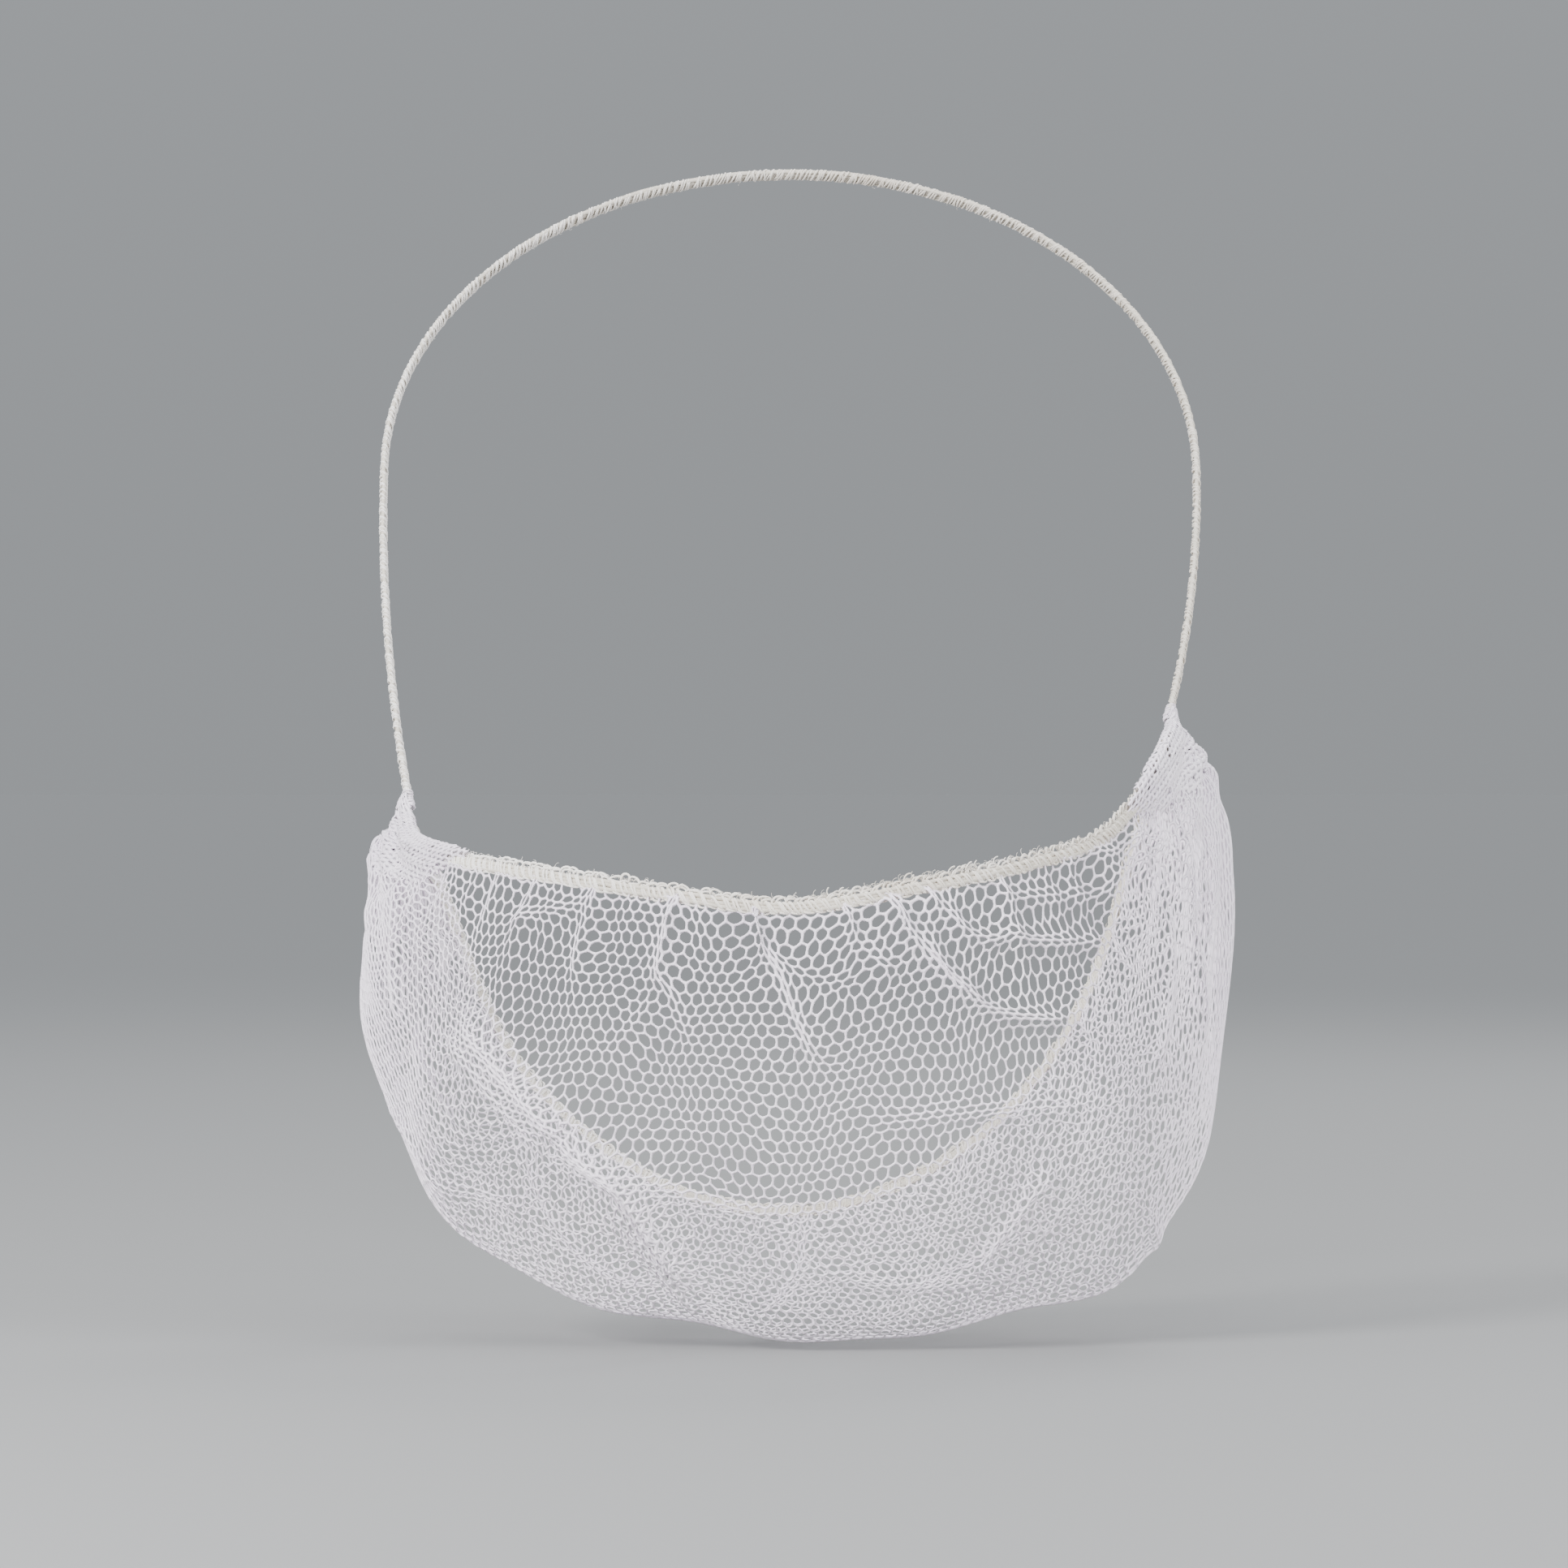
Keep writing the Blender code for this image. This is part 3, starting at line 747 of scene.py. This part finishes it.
def make_net(material):
    """Make the net: two front panels that meet at the chin, and two under it.

    The flat sheet's columns run round the cover, and its rows from elastic to elastic.
    """
    width = pouch.girth[-1] - pouch.girth[0]
    sheet = honeycomb(CELL_PITCH, (pouch.girth[0], 0.0), width, SHEET_DEPTH)
    keep_cells(sheet, in_pouch)
    panel = sheet.faces.layers.int.new("panel")
    middles = middles_of(sheet)
    turns, lengths = on_pouch(middles)
    behind = lengths > np.interp(turns, pouch.turns, pouch.to_fold)
    for face, number in zip(sheet.faces, 2 * behind + (middles[:, 0] > 0)):
        face[panel] = int(number)
    from_edge = np.minimum(lengths, pouch.depth_at(turns) - lengths) - BINDING_HEIGHT
    flat = np.array([vertex.co[:2] for vertex in sheet.verts])
    laid, crests = lay_net(flat + np.random.default_rng(5).normal(0.0, KNOT_SHAKE, flat.shape))
    sheet.verts.index_update()
    for vertex, place in zip(sheet.verts, laid):
        vertex.co = place
    crests = [crests[[vertex.index for vertex in face.verts]].mean() for face in sheet.faces]
    widths = np.interp(np.abs(turns), THREAD_TURNS, THREAD_WIDTHS)
    widths = widths + CREST_SHARE * np.array(crests)
    widths = widths + EDGE_THREAD * np.exp(-np.clip(from_edge, 0.0, None) / EDGE_REACH)
    open_holes(sheet, widths, THREAD_SHARE)
    round_threads(sheet)
    for number, name in enumerate(PANELS):
        web = sheet.copy()
        panel = web.faces.layers.int["panel"]
        others = [face for face in web.faces if face[panel] != number]
        bmesh.ops.delete(web, geom=others, context="FACES")
        finish_piece(name, mesh_of(web), material, "net_pouch", slot="net")
    sheet.free()


class Band:
    """A narrow band that yarn is sewn round, with places given along and across it."""

    def __init__(self, middle, side, outward):
        self.middle = middle
        self.side = unit(side)
        self.outward = unit(outward)
        self.along = lengths_along(middle)
        self.length = self.along[-1]

    def place(self, along, across, out):
        """Return points at lengths along, across and out of the band."""
        tables = (self.middle, self.side, self.outward)
        middle, side, outward = [read_path(self.along, table, along) for table in tables]
        return middle + side * across[:, None] + outward * out[:, None]


def edge_band(rear):
    """Return the band of an edge elastic. Its side points away from the net."""
    turns = np.linspace(-GATHER_TURN, GATHER_TURN, 721)
    depth = pouch.depth_at(turns) if rear else np.zeros_like(turns)
    step = -BINDING_HEIGHT / 2 if rear else BINDING_HEIGHT / 2
    edge = pouch.read(pouch.grid, turns, depth)
    middle = pouch.read(pouch.grid, turns, depth + step)
    outward = pouch.read(pouch.outward, turns, depth + step)
    return Band(middle, edge - middle, outward)


def strap_band():
    """Return the band of the head strap, from gather to gather over the crown."""
    count = 241
    turn = np.linspace(math.pi, 0.0, count)
    arch_x = TEMPLE_HALF_WIDTH * np.cos(turn)
    arch_rise = GATHER_TO_TEMPLE + TEMPLE_TO_CROWN * np.sin(turn)
    start = CLEARANCE + BINDING_THICKNESS / 2
    skew = GATHER_SKEW / 2 / math.cos(STRAP_LEAN)
    legs = []
    for side in (-1.0, 1.0):
        rise = np.linspace(start + side * skew, GATHER_TO_TEMPLE, count, endpoint=False)
        down = (GATHER_TO_TEMPLE - rise) / (GATHER_TO_TEMPLE - side * skew)
        x = side * (TEMPLE_HALF_WIDTH - (TEMPLE_HALF_WIDTH - GATHER_HALF_WIDTH) * down**2)
        legs.append(strap_plane(x, rise))
    middle = np.concatenate([legs[0], strap_plane(arch_x, arch_rise), legs[1][::-1]])
    at = lengths_along(middle)
    even = np.linspace(0.0, at[-1], 3 * count)
    middle = read_path(at, middle, even)
    side = points(0.0 * even, math.cos(STRAP_LEAN), -math.sin(STRAP_LEAN))
    outward = np.cross(side, np.gradient(middle, axis=0))
    return Band(middle, side, outward)


def add_yarns(name, yarns, material, *nodes, slot, roundness=1):
    """Make yarns as one piece. Each yarn is its points, its radius and its spread.

    The spread is how much thicker or thinner the yarn is from place to place.
    """
    source = np.random.default_rng(23)
    curve = bpy.data.curves.new(name, "CURVE")
    curve.dimensions = "3D"
    curve.bevel_depth = 1.0
    curve.bevel_resolution = roundness
    curve.use_fill_caps = True
    for path, radius, spread in yarns:
        yarn = curve.splines.new("POLY")
        yarn.points.add(len(path) - 1)
        flat = np.concatenate([path, np.ones((len(path), 1))], axis=1)
        yarn.points.foreach_set("co", flat.ravel())
        waver = source.normal(0.0, spread, len(path))
        waver = np.convolve(waver, np.full(3, 1 / 3), mode="same")
        yarn.points.foreach_set("radius", radius * (1.0 + waver))
    maker = bpy.data.objects.new(name, curve)
    mesh = bpy.data.meshes.new_from_object(maker)
    bpy.data.objects.remove(maker)
    bpy.data.curves.remove(curve)
    finish_piece(name, mesh, material, *nodes, slot=slot)


def rounds_along(band, pitch, points_each):
    """Count the rounds that a yarn makes along a band, in fine steps."""
    rounds = band.length / pitch
    return np.linspace(0.0, rounds, int(rounds * points_each))


def wander(source, phase, draws, sizes):
    """Return slow random wanders of the sizes given, with so many draws each round."""
    knots = np.arange(draws * (int(phase[-1]) + 2)) / draws
    return [size * np.interp(phase, knots, source.normal(0, 1, len(knots))) for size in sizes]


def sewn_wraps(band, pitch, middle, size, lean, start, source, points_each=11):
    """Return the path of a yarn that is sewn round a band in slanting stitches.

    middle is where the stitches are centred across the band, and size is half their width
    and half their height. lean is the share of the pitch that a stitch moves on along the
    band's outer face.
    """
    phase = rounds_along(band, pitch, points_each)
    within = phase % 1.0
    face = np.where(within < 0.5, lean * within * 2, lean + (1 - lean) * (within - 0.5) * 2)
    angle = 2 * math.pi * phase
    on, wide, high = wander(source, phase, 2, STITCH_WANDER)
    along = (np.floor(phase) + face + start + on) * pitch
    across = middle + size[0] * np.cos(angle) * (1.0 + wide)
    out = size[1] * np.sin(angle) * (1.0 + high)
    return band.place(np.clip(along, 0.0, band.length), across, out)


def edge_loops(band, pitch, across, rise, start, source, points_each=9):
    """Return the path of a yarn that stands along a band's edge in small open loops."""
    phase = rounds_along(band, pitch, points_each)
    within = (phase + start) % 1.0
    on, tall, sway = wander(source, phase, 1, LOOP_WANDER)
    angle = 2 * math.pi * within
    along = np.clip((phase - LOOP_LEAN * np.sin(angle) + on) * pitch, 0.0, band.length)
    fade = np.clip(np.minimum(along, band.length - along) / LOOP_FADE, 0.0, 1.0)
    bow = np.sin(math.pi * within) ** LOOP_BOW
    wave = across + rise * bow * (1.0 + tall) * fade
    out = (LOOP_OUT * np.sin(angle) + sway) * MM
    return band.place(along, wave, out)


def cords(band, places, radius, source):
    """Return the rubber cords that run inside a band, side by side and a little uneven."""
    along = np.linspace(0.0, band.length, int(band.length / CORD_STEP))
    yarns = []
    for place in places:
        wave = source.normal(0.0, CORD_WANDER, len(along))
        wave = np.convolve(wave, np.full(5, 0.2), mode="same")
        yarns.append((band.place(along, place + wave, wave[::-1]), radius, CORD_UNEVEN))
    return yarns


def frayed_yarn(band, edge, zones, source):
    """Return yarn ends that have worked loose from a band's edge and curl over it.

    Each zone is its middle and reach along the band, how many ends, how long they are,
    how thick, and how far they curl.
    """
    ends = []
    for middle, reach, count, length, radius, curl in zones:
        for _ in range(count):
            at = middle + source.uniform(-reach, reach)
            run = length * source.uniform(*FRAY_LENGTHS) / (CURL_STEPS - 1)
            angle = source.normal(*FRAY_STARTS) + source.normal(curl, CURL_SPREAD) * CURL
            rise = np.concatenate([[0.0], np.cumsum(np.cos(angle[1:]))]) * run
            sweep = np.concatenate([[0.0], np.cumsum(np.sin(angle[1:]))]) * run
            out = source.uniform(-FRAY_OUT, FRAY_OUT) * MM
            out = out + source.uniform(-FRAY_TILT, FRAY_TILT) * rise
            along = np.clip(at + sweep, 0.0, band.length)
            ends.append((band.place(along, edge + rise, out), radius, 0.0))
    return ends


def fray_zones(band, table):
    """Return a table of frayed places as lengths along a band."""
    turns = np.linspace(-GATHER_TURN, GATHER_TURN, len(band.along))
    zones = []
    for turn, spread, count, length, radius, curl in table:
        middle = np.interp(turn, turns, band.along)
        reach = np.interp(turn + spread, turns, band.along) - middle
        zones.append((middle, reach, count, length * MM, radius * MM, curl))
    return zones


def add_elastic(node, inner, sewn, ends, yarn, rubber):
    """Add the pieces of an elastic: its cords, the yarn sewn round them, and its fray."""
    add_yarns(node + "_cords", inner, rubber, node, slot="elastic")
    add_yarns(node + "_yarn", sewn, yarn, node, slot="elastic")
    add_yarns(node + "_fray", ends, yarn, node, slot="elastic", roundness=0)


def make_binding(edge, band, zones, yarn, rubber):
    """Make an edge elastic: rubber cords side by side, with yarn sewn round them."""
    source = np.random.default_rng(41 + len(edge))
    inner = cords(band, CORD_PLACES, CORD_RADIUS, source)
    sewn = []
    for start in WRAP_STARTS:
        path = sewn_wraps(band, STITCH_PITCH, WRAP_MIDDLE, WRAP_SIZE, WRAP_LEAN, start, source)
        sewn.append((path, WRAP_RADIUS, YARN_UNEVEN))
    for row in LOOP_ROWS:
        sewn.append((edge_loops(band, *row, source), LOOP_RADIUS, LOOP_UNEVEN))
    ends = frayed_yarn(band, FRAY_FOOT, fray_zones(band, zones), source)
    add_elastic(edge + "_binding", inner, sewn, ends, yarn, rubber)


def make_strap(band, yarn, rubber):
    """Make the head strap: rubber cords side by side, with yarn wound round both ways."""
    source = np.random.default_rng(71)
    inner = cords(band, STRAP_CORD_PLACES, STRAP_CORD_RADIUS, source)
    sewn = []
    for pitch, lean, start in STRAP_WRAPS:
        path = sewn_wraps(band, pitch, 0.0, STRAP_WRAP_SIZE, lean, start, source)
        sewn.append((path, STRAP_YARN_RADIUS, YARN_UNEVEN))
    eighth = band.length / 8
    zones = [(eighth * part, eighth, *STRAP_FIBRES) for part in (1, 3, 5, 7)]
    ends = frayed_yarn(band, STRAP_FRAY_FOOT, zones, source)
    add_elastic("head_strap", inner, sewn, ends, yarn, rubber)


def make_bunched_corner(side, strap, band, material):
    """Lay the net's bunched corner over the front elastic and up round the strap's end.

    The cells are pressed so small there that most of them have nearly closed.
    """
    source = np.random.default_rng(59 + side)
    width = (BUNCH_TIP + BUNCH_REACHES[-1]) / BUNCH_STRETCH
    height = BUNCH_OVER + BUNCH_DEPTHS.max()
    sheet = honeycomb(BUNCH_PITCH, (-BUNCH_TIP / BUNCH_STRETCH, -BUNCH_OVER), width, height)
    keep_cells(sheet, in_bunch)
    columns = middles_of(sheet)[:, 0] * BUNCH_STRETCH
    widths = np.interp(columns, BUNCH_REACHES, BUNCH_THREADS)
    still_open = source.random(len(widths)) < BUNCH_OPEN_SHARE
    uneven = source.uniform(*BUNCH_UNEVEN, len(widths))
    widths = widths * np.where(still_open, BUNCH_OPEN_THREAD, uneven)
    flat = np.array([vertex.co[:2] for vertex in sheet.verts])
    flat = flat + source.normal(0.0, BUNCH_SHAKE, flat.shape)
    along = flat[:, 0] * BUNCH_STRETCH
    down = flat[:, 1]
    gather = band.middle[0 if side < 0 else -1]
    lead = max(0.0, gather[1] - past_the_strap(side, strap, np.zeros(1))[0, 1])
    laid = on_the_edge(side, band, along, down, lead)
    wound = round_the_strap(side, strap, along, down, lead)
    spread = ease((along + BUNCH_TIP) / BUNCH_JOIN)[:, None]
    for vertex, place in zip(sheet.verts, wound + (laid - wound) * spread):
        vertex.co = place
    bmesh.ops.recalc_face_normals(sheet, faces=sheet.faces[:])
    open_holes(sheet, widths, BUNCH_SHARE)
    round_threads(sheet)
    name = "bunched_corner_" + SIDES[side]
    finish_piece(name, mesh_of(sheet), material, "net_pouch", slot="net")


def in_bunch(flat):
    """Tell which places lie in a bunched corner, which narrows away from the strap."""
    u, v = flat.T
    along = u * BUNCH_STRETCH
    depth = np.interp(along, BUNCH_REACHES, BUNCH_DEPTHS)
    wave = BUNCH_WAVE_HEIGHT * np.sin(u * 2 * math.pi / BUNCH_WAVE)
    over = BUNCH_OVER * (1.0 - np.clip(along / BUNCH_REACHES[-1], 0.0, 1.0) ** 4)
    return (v < depth + wave) & (v > -over)


def on_the_edge(side, band, along, down, lead):
    """Lay places of a bunched corner over the front elastic and the net below it.

    lead is how far in front of the gather the strap ends. The corner's upper part starts
    that much further on.
    """
    away = along + lead * (1.0 - np.clip(down / BUNCH_LEAD_DEPTH, 0.0, 1.0))
    away = np.clip(away, 0.0, None)
    along = away if side < 0 else band.length - away
    turns = np.interp(along, band.along, np.linspace(-GATHER_TURN, GATHER_TURN, len(band.along)))
    into = np.clip(down, 0.0, pouch.depth_at(turns))
    rest = pouch.read(pouch.grid, turns, into)
    outward = unit(pouch.read(pouch.outward, turns, into))
    edge = read_path(band.along, band.side, along)
    rest = rest + edge * np.interp(down, BUNCH_ROLL, BUNCH_RISES)[:, None]
    lift = np.interp(down, BUNCH_ROLL, BUNCH_LIFTS)
    pleats = np.sin(2 * math.pi * down / BUNCH_PLEAT + away / BUNCH_PLEAT_RUN)
    lift = lift + BUNCH_PLEAT_HEIGHT * pleats * ease(down / BUNCH_OVER)
    to_border = np.interp(away, BUNCH_REACHES, BUNCH_DEPTHS) - down
    lift = lift * ease(to_border / BUNCH_BORDER) - BUNCH_TUCK * (1 - ease(to_border / BUNCH_BORDER))
    return rest + outward * (lift + relief(turns, into))[:, None]


def round_the_strap(side, strap, along, down, lead):
    """Wrap places of a bunched corner round the strap's end, and on down from it.

    Behind the strap the corner widens by the lead, to take in the gather's end.
    """
    middle = past_the_strap(side, strap, along)
    angle = math.pi * (down + BUNCH_OVER) / (BUNCH_DEPTHS[0] + BUNCH_OVER)
    deep = np.interp(along, (-BUNCH_TIP, 0.0, BUNCH_JOIN), BUNCH_HALF_DEPTHS)
    wide = np.interp(along, (-BUNCH_TIP, 0.0, BUNCH_JOIN), BUNCH_HALF_WIDTHS)
    more = lead * np.clip(1.0 + along / BUNCH_TIP, 0.0, 1.0)
    deep = deep + more * (np.cos(angle) < 0.0)
    wide = wide + more * BUNCH_LEAD_WIDTH
    fore = -strap.side[0] * (np.cos(angle) * deep)[:, None]
    out = np.array([side, 0.0, 0.0]) * (np.sin(angle) * wide)[:, None]
    return middle + fore + out


def past_the_strap(side, strap, along):
    """Return the middle of the strap at lengths past its end. Less than 0 is up the strap."""
    up = np.clip(-along, 0.0, None)
    up = up if side < 0 else strap.length - up
    ends = strap.middle if side < 0 else strap.middle[::-1]
    fall = unit(ends[0] - ends[4])
    middle = strap.place(up, np.zeros_like(up), np.zeros_like(up))
    return middle + fall * np.clip(along, 0.0, None)[:, None]


def make_strap_end(side, strap, material):
    """Wind yarn round the strap's end, where the bunched net is sewn to it."""
    source = np.random.default_rng(83 + side)
    middle = past_the_strap(side, strap, np.linspace(-END_RISE, END_FALL, END_STEPS))
    across = np.tile([1.0, 0.0, 0.0], (END_STEPS, 1))
    tip = Band(middle, across, np.cross(np.gradient(middle, axis=0), across))
    windings = []
    phase = rounds_along(tip, END_PITCH, END_POINTS)
    for start, lean in END_WINDS:
        angle = 2 * math.pi * (phase + start)
        along = np.clip((phase + lean * np.sin(angle)) * END_PITCH, 0.0, tip.length)
        (shake,) = wander(source, phase, 2, END_WANDER)
        wide = END_HALF_WIDTH * (1.0 + shake) * np.cos(angle)
        deep = END_HALF_DEPTH * (1.0 + shake) * np.sin(angle)
        windings.append((tip.place(along, wide, deep), END_YARN_RADIUS, END_UNEVEN))
    add_yarns("strap_end_" + SIDES[side], windings, material, "head_strap", slot="net")


def linear(code):
    """Turn an sRGB colour code into linear colour."""
    parts = [int(code[place : place + 2], 16) / 255 for place in (1, 3, 5)]
    return [c / 12.92 if c <= 0.04045 else ((c + 0.055) / 1.055) ** 2.4 for c in parts] + [1.0]


def set_inputs(tree, node, inputs):
    """Give a node its values and its links."""
    for name, value in inputs.items():
        if isinstance(value, bpy.types.NodeSocket):
            tree.links.new(value, node.inputs[name])
        else:
            node.inputs[name].default_value = value


def add_node(tree, kind, inputs=None, **settings):
    """Add a shader node of a kind, with its settings, its values and its links."""
    node = tree.nodes.new("ShaderNode" + kind)
    for name, value in settings.items():
        setattr(node, name, value)
    set_inputs(tree, node, inputs or {})
    return node


def new_material(name):
    """Start a material with only its shader and its output."""
    material = bpy.data.materials.new(name)
    material.use_nodes = True
    tree = material.node_tree
    tree.nodes.clear()
    shader = add_node(tree, "BsdfPrincipled")
    add_node(tree, "OutputMaterial", {"Surface": shader.outputs["BSDF"]})
    return material, tree, shader


def textile(name, colours, patches, grain, depth, strength, side_tone_and_shade=None, **surface):
    """Make a material of threads: two colours in soft patches, and a raised grain.

    Patches and grain are each a size and its detail. depth and strength are how far the
    grain stands out. Where it is paler to one side and darker to the other, the argument
    after strength says from where to where, and from which share of the patches' colour to
    which; on the yarn that darker side is partly its own warmer tone and partly painted shade.
    """
    material, tree, shader = new_material(name)
    place = add_node(tree, "TexCoord").outputs["Object"]
    noises = []
    for size, detail in (patches, grain):
        inputs = {"Vector": place, "Scale": 1.0 / size, "Detail": detail}
        noises.append(add_node(tree, "TexNoise", inputs).outputs["Fac"])
    mix = noises[0]
    # Paler to one side and darker to the other: on the yarn, partly its own tone and partly painted
    # shade
    if side_tone_and_shade:
        across = add_node(tree, "SeparateXYZ", {"Vector": place}).outputs["X"]
        ends = dict(zip(("From Min", "From Max", "To Min", "To Max"), side_tone_and_shade))
        warmer_and_shaded = add_node(tree, "MapRange", {"Value": across, **ends})
        inputs = {0: mix, 1: warmer_and_shaded.outputs["Result"]}
        mix = add_node(tree, "Math", inputs, operation="MULTIPLY", use_clamp=True)
        mix = mix.outputs["Value"]
    inputs = {"Factor": mix, "A": linear(colours[0]), "B": linear(colours[1])}
    tint = add_node(tree, "Mix", inputs, data_type="RGBA")
    inputs = {"Height": noises[1], "Distance": depth, "Strength": strength}
    bump = add_node(tree, "Bump", inputs)
    inputs = {"Base Color": tint.outputs["Result"], "Normal": bump.outputs["Normal"]}
    set_inputs(tree, shader, {**inputs, **surface})
    return material


def white_nylon_knit():
    """Warp-knitted white nylon: bright, faintly lilac, with a soft satin gloss.

    The colour drifts a little towards lilac, and the filaments break up the gloss. Real
    filaments are 0.03 mm, too fine to show, so they are drawn at NET_GRAIN.
    """
    colours = ("#F6F0F6", "#DFD3E2")
    surface = {"Roughness": 0.45, "IOR": 1.53, "Sheen Weight": 0.15}
    sizes = ((NET_PATCH, 3.0), (NET_GRAIN, 2.0))
    return textile("white_nylon_knit", colours, *sizes, 0.03 * MM, 0.6, **surface)


def ivory_overlock_yarn():
    """Textured polyester sewing yarn: warm ivory, matt and faintly fuzzy.

    Patches of it are nearly white, most of all towards the left gather. Towards the right
    gather it turns warmer and darker: partly its own warmer tone, partly painted shade. Real
    filaments are 0.02 mm, too fine to show, so the fuzz is drawn at YARN_GRAIN.
    """
    colours = ("#F2EFEB", "#D0C6B6")
    surface = {"Roughness": 0.8, "IOR": 1.6, "Sheen Weight": 0.3}
    sizes = ((YARN_PATCH, 4.0), (YARN_GRAIN, 3.0))
    return textile(
        "ivory_overlock_yarn", colours, *sizes, 0.05 * MM, 0.8, YARN_TONE_AND_SHADE, **surface
    )


def covered_rubber():
    """Rubber cord wound with fine cotton: cream, with a tight thread round it. Its colour is
    partly the cord's own cream and partly painted shade, so that the gaps between the
    yarn's wraps read as shaded pores.
    """
    # Cord colours darkened with painted shade for the pores between the wraps
    colours = ("#DAD4C9", "#BBB3A5")
    surface = {"Roughness": 0.85, "IOR": 1.53}
    grain = (CORD_GRAIN, 2.0)
    return textile("rubber_cord_and_pore_shade", colours, grain, grain, 0.04 * MM, 0.7, **surface)


def pale_paper():
    """Matt pale grey background paper, with no gloss at all."""
    material, tree, shader = new_material("pale_grey_paper")
    set_inputs(tree, shader, {"Base Color": linear("#808080"), "Roughness": 0.95})
    return material


def make_floor():
    """Lay a wide floor of background paper just under the cover."""
    shape = bmesh.new()
    bmesh.ops.create_grid(shape, x_segments=1, y_segments=1, size=FLOOR_SIZE / 2)
    bmesh.ops.translate(shape, verts=shape.verts[:], vec=(0.0, 0.0, cad_box[0][2] - FLOOR_GAP))
    show("paper_floor", mesh_of(shape), pale_paper())


def light_the_air():
    """Fill the air with soft light, brightest overhead and as dim as the floor far away."""
    world = bpy.data.worlds.new("studio")
    world.use_nodes = True
    tree = world.node_tree
    tree.nodes.clear()
    toward = add_node(tree, "TexCoord").outputs["Generated"]
    height = add_node(tree, "SeparateXYZ", {"Vector": toward}).outputs["Z"]
    above = add_node(tree, "Math", {0: height, 1: 0.0}, operation="MAXIMUM")
    steep = add_node(tree, "Math", {0: above.outputs["Value"], 1: 2.0}, operation="POWER")
    inputs = {0: steep.outputs["Value"], 1: AIR_OVERHEAD - AIR_FAR, 2: AIR_FAR}
    glow = add_node(tree, "Math", inputs, operation="MULTIPLY_ADD")
    inputs = {"Color": linear("#F5FAFF"), "Strength": glow.outputs["Value"]}
    air = add_node(tree, "Background", inputs)
    add_node(tree, "OutputWorld", {"Surface": air.outputs["Background"]})
    bpy.context.scene.world = world


def add_light(name, place, aim, size, power):
    """Add a soft box that shines at a point."""
    light = bpy.data.lights.new(name, "AREA")
    light.shape = "DISK"
    light.size = size
    light.energy = power
    lamp = add_object(name, light)
    lamp.location = place
    lamp.rotation_euler = (Vector(aim) - Vector(place)).to_track_quat("-Z", "Y").to_euler()


def add_camera():
    """Set the camera at the photograph's view: level, in front of the chin."""
    camera = bpy.data.cameras.new("view")
    camera.sensor_fit = "HORIZONTAL"
    camera.sensor_width = SENSOR_WIDTH
    camera.lens = FOCAL_PIXELS / IMAGE_SIZE * SENSOR_WIDTH
    camera.clip_start = 0.05
    camera.clip_end = 2.0 * FLOOR_SIZE
    body = add_object("view", camera)
    body.location = CAMERA_PLACE
    body.rotation_euler = (math.radians(90.0), 0.0, 0.0)
    bpy.context.scene.camera = body


add_camera()
make_floor()
light_the_air()
for lamp in LIGHTS:
    add_light(*lamp)

net = white_nylon_knit()
yarn = ivory_overlock_yarn()
rubber = covered_rubber()
make_net(net)
front = edge_band(rear=False)
make_binding("front", front, FRAYED, yarn, rubber)
make_binding("rear", edge_band(rear=True), REAR_FRAYED, yarn, rubber)
strap = strap_band()
make_strap(strap, yarn, rubber)
for side in SIDES:
    make_bunched_corner(side, strap, front, net)
    make_strap_end(side, strap, net)
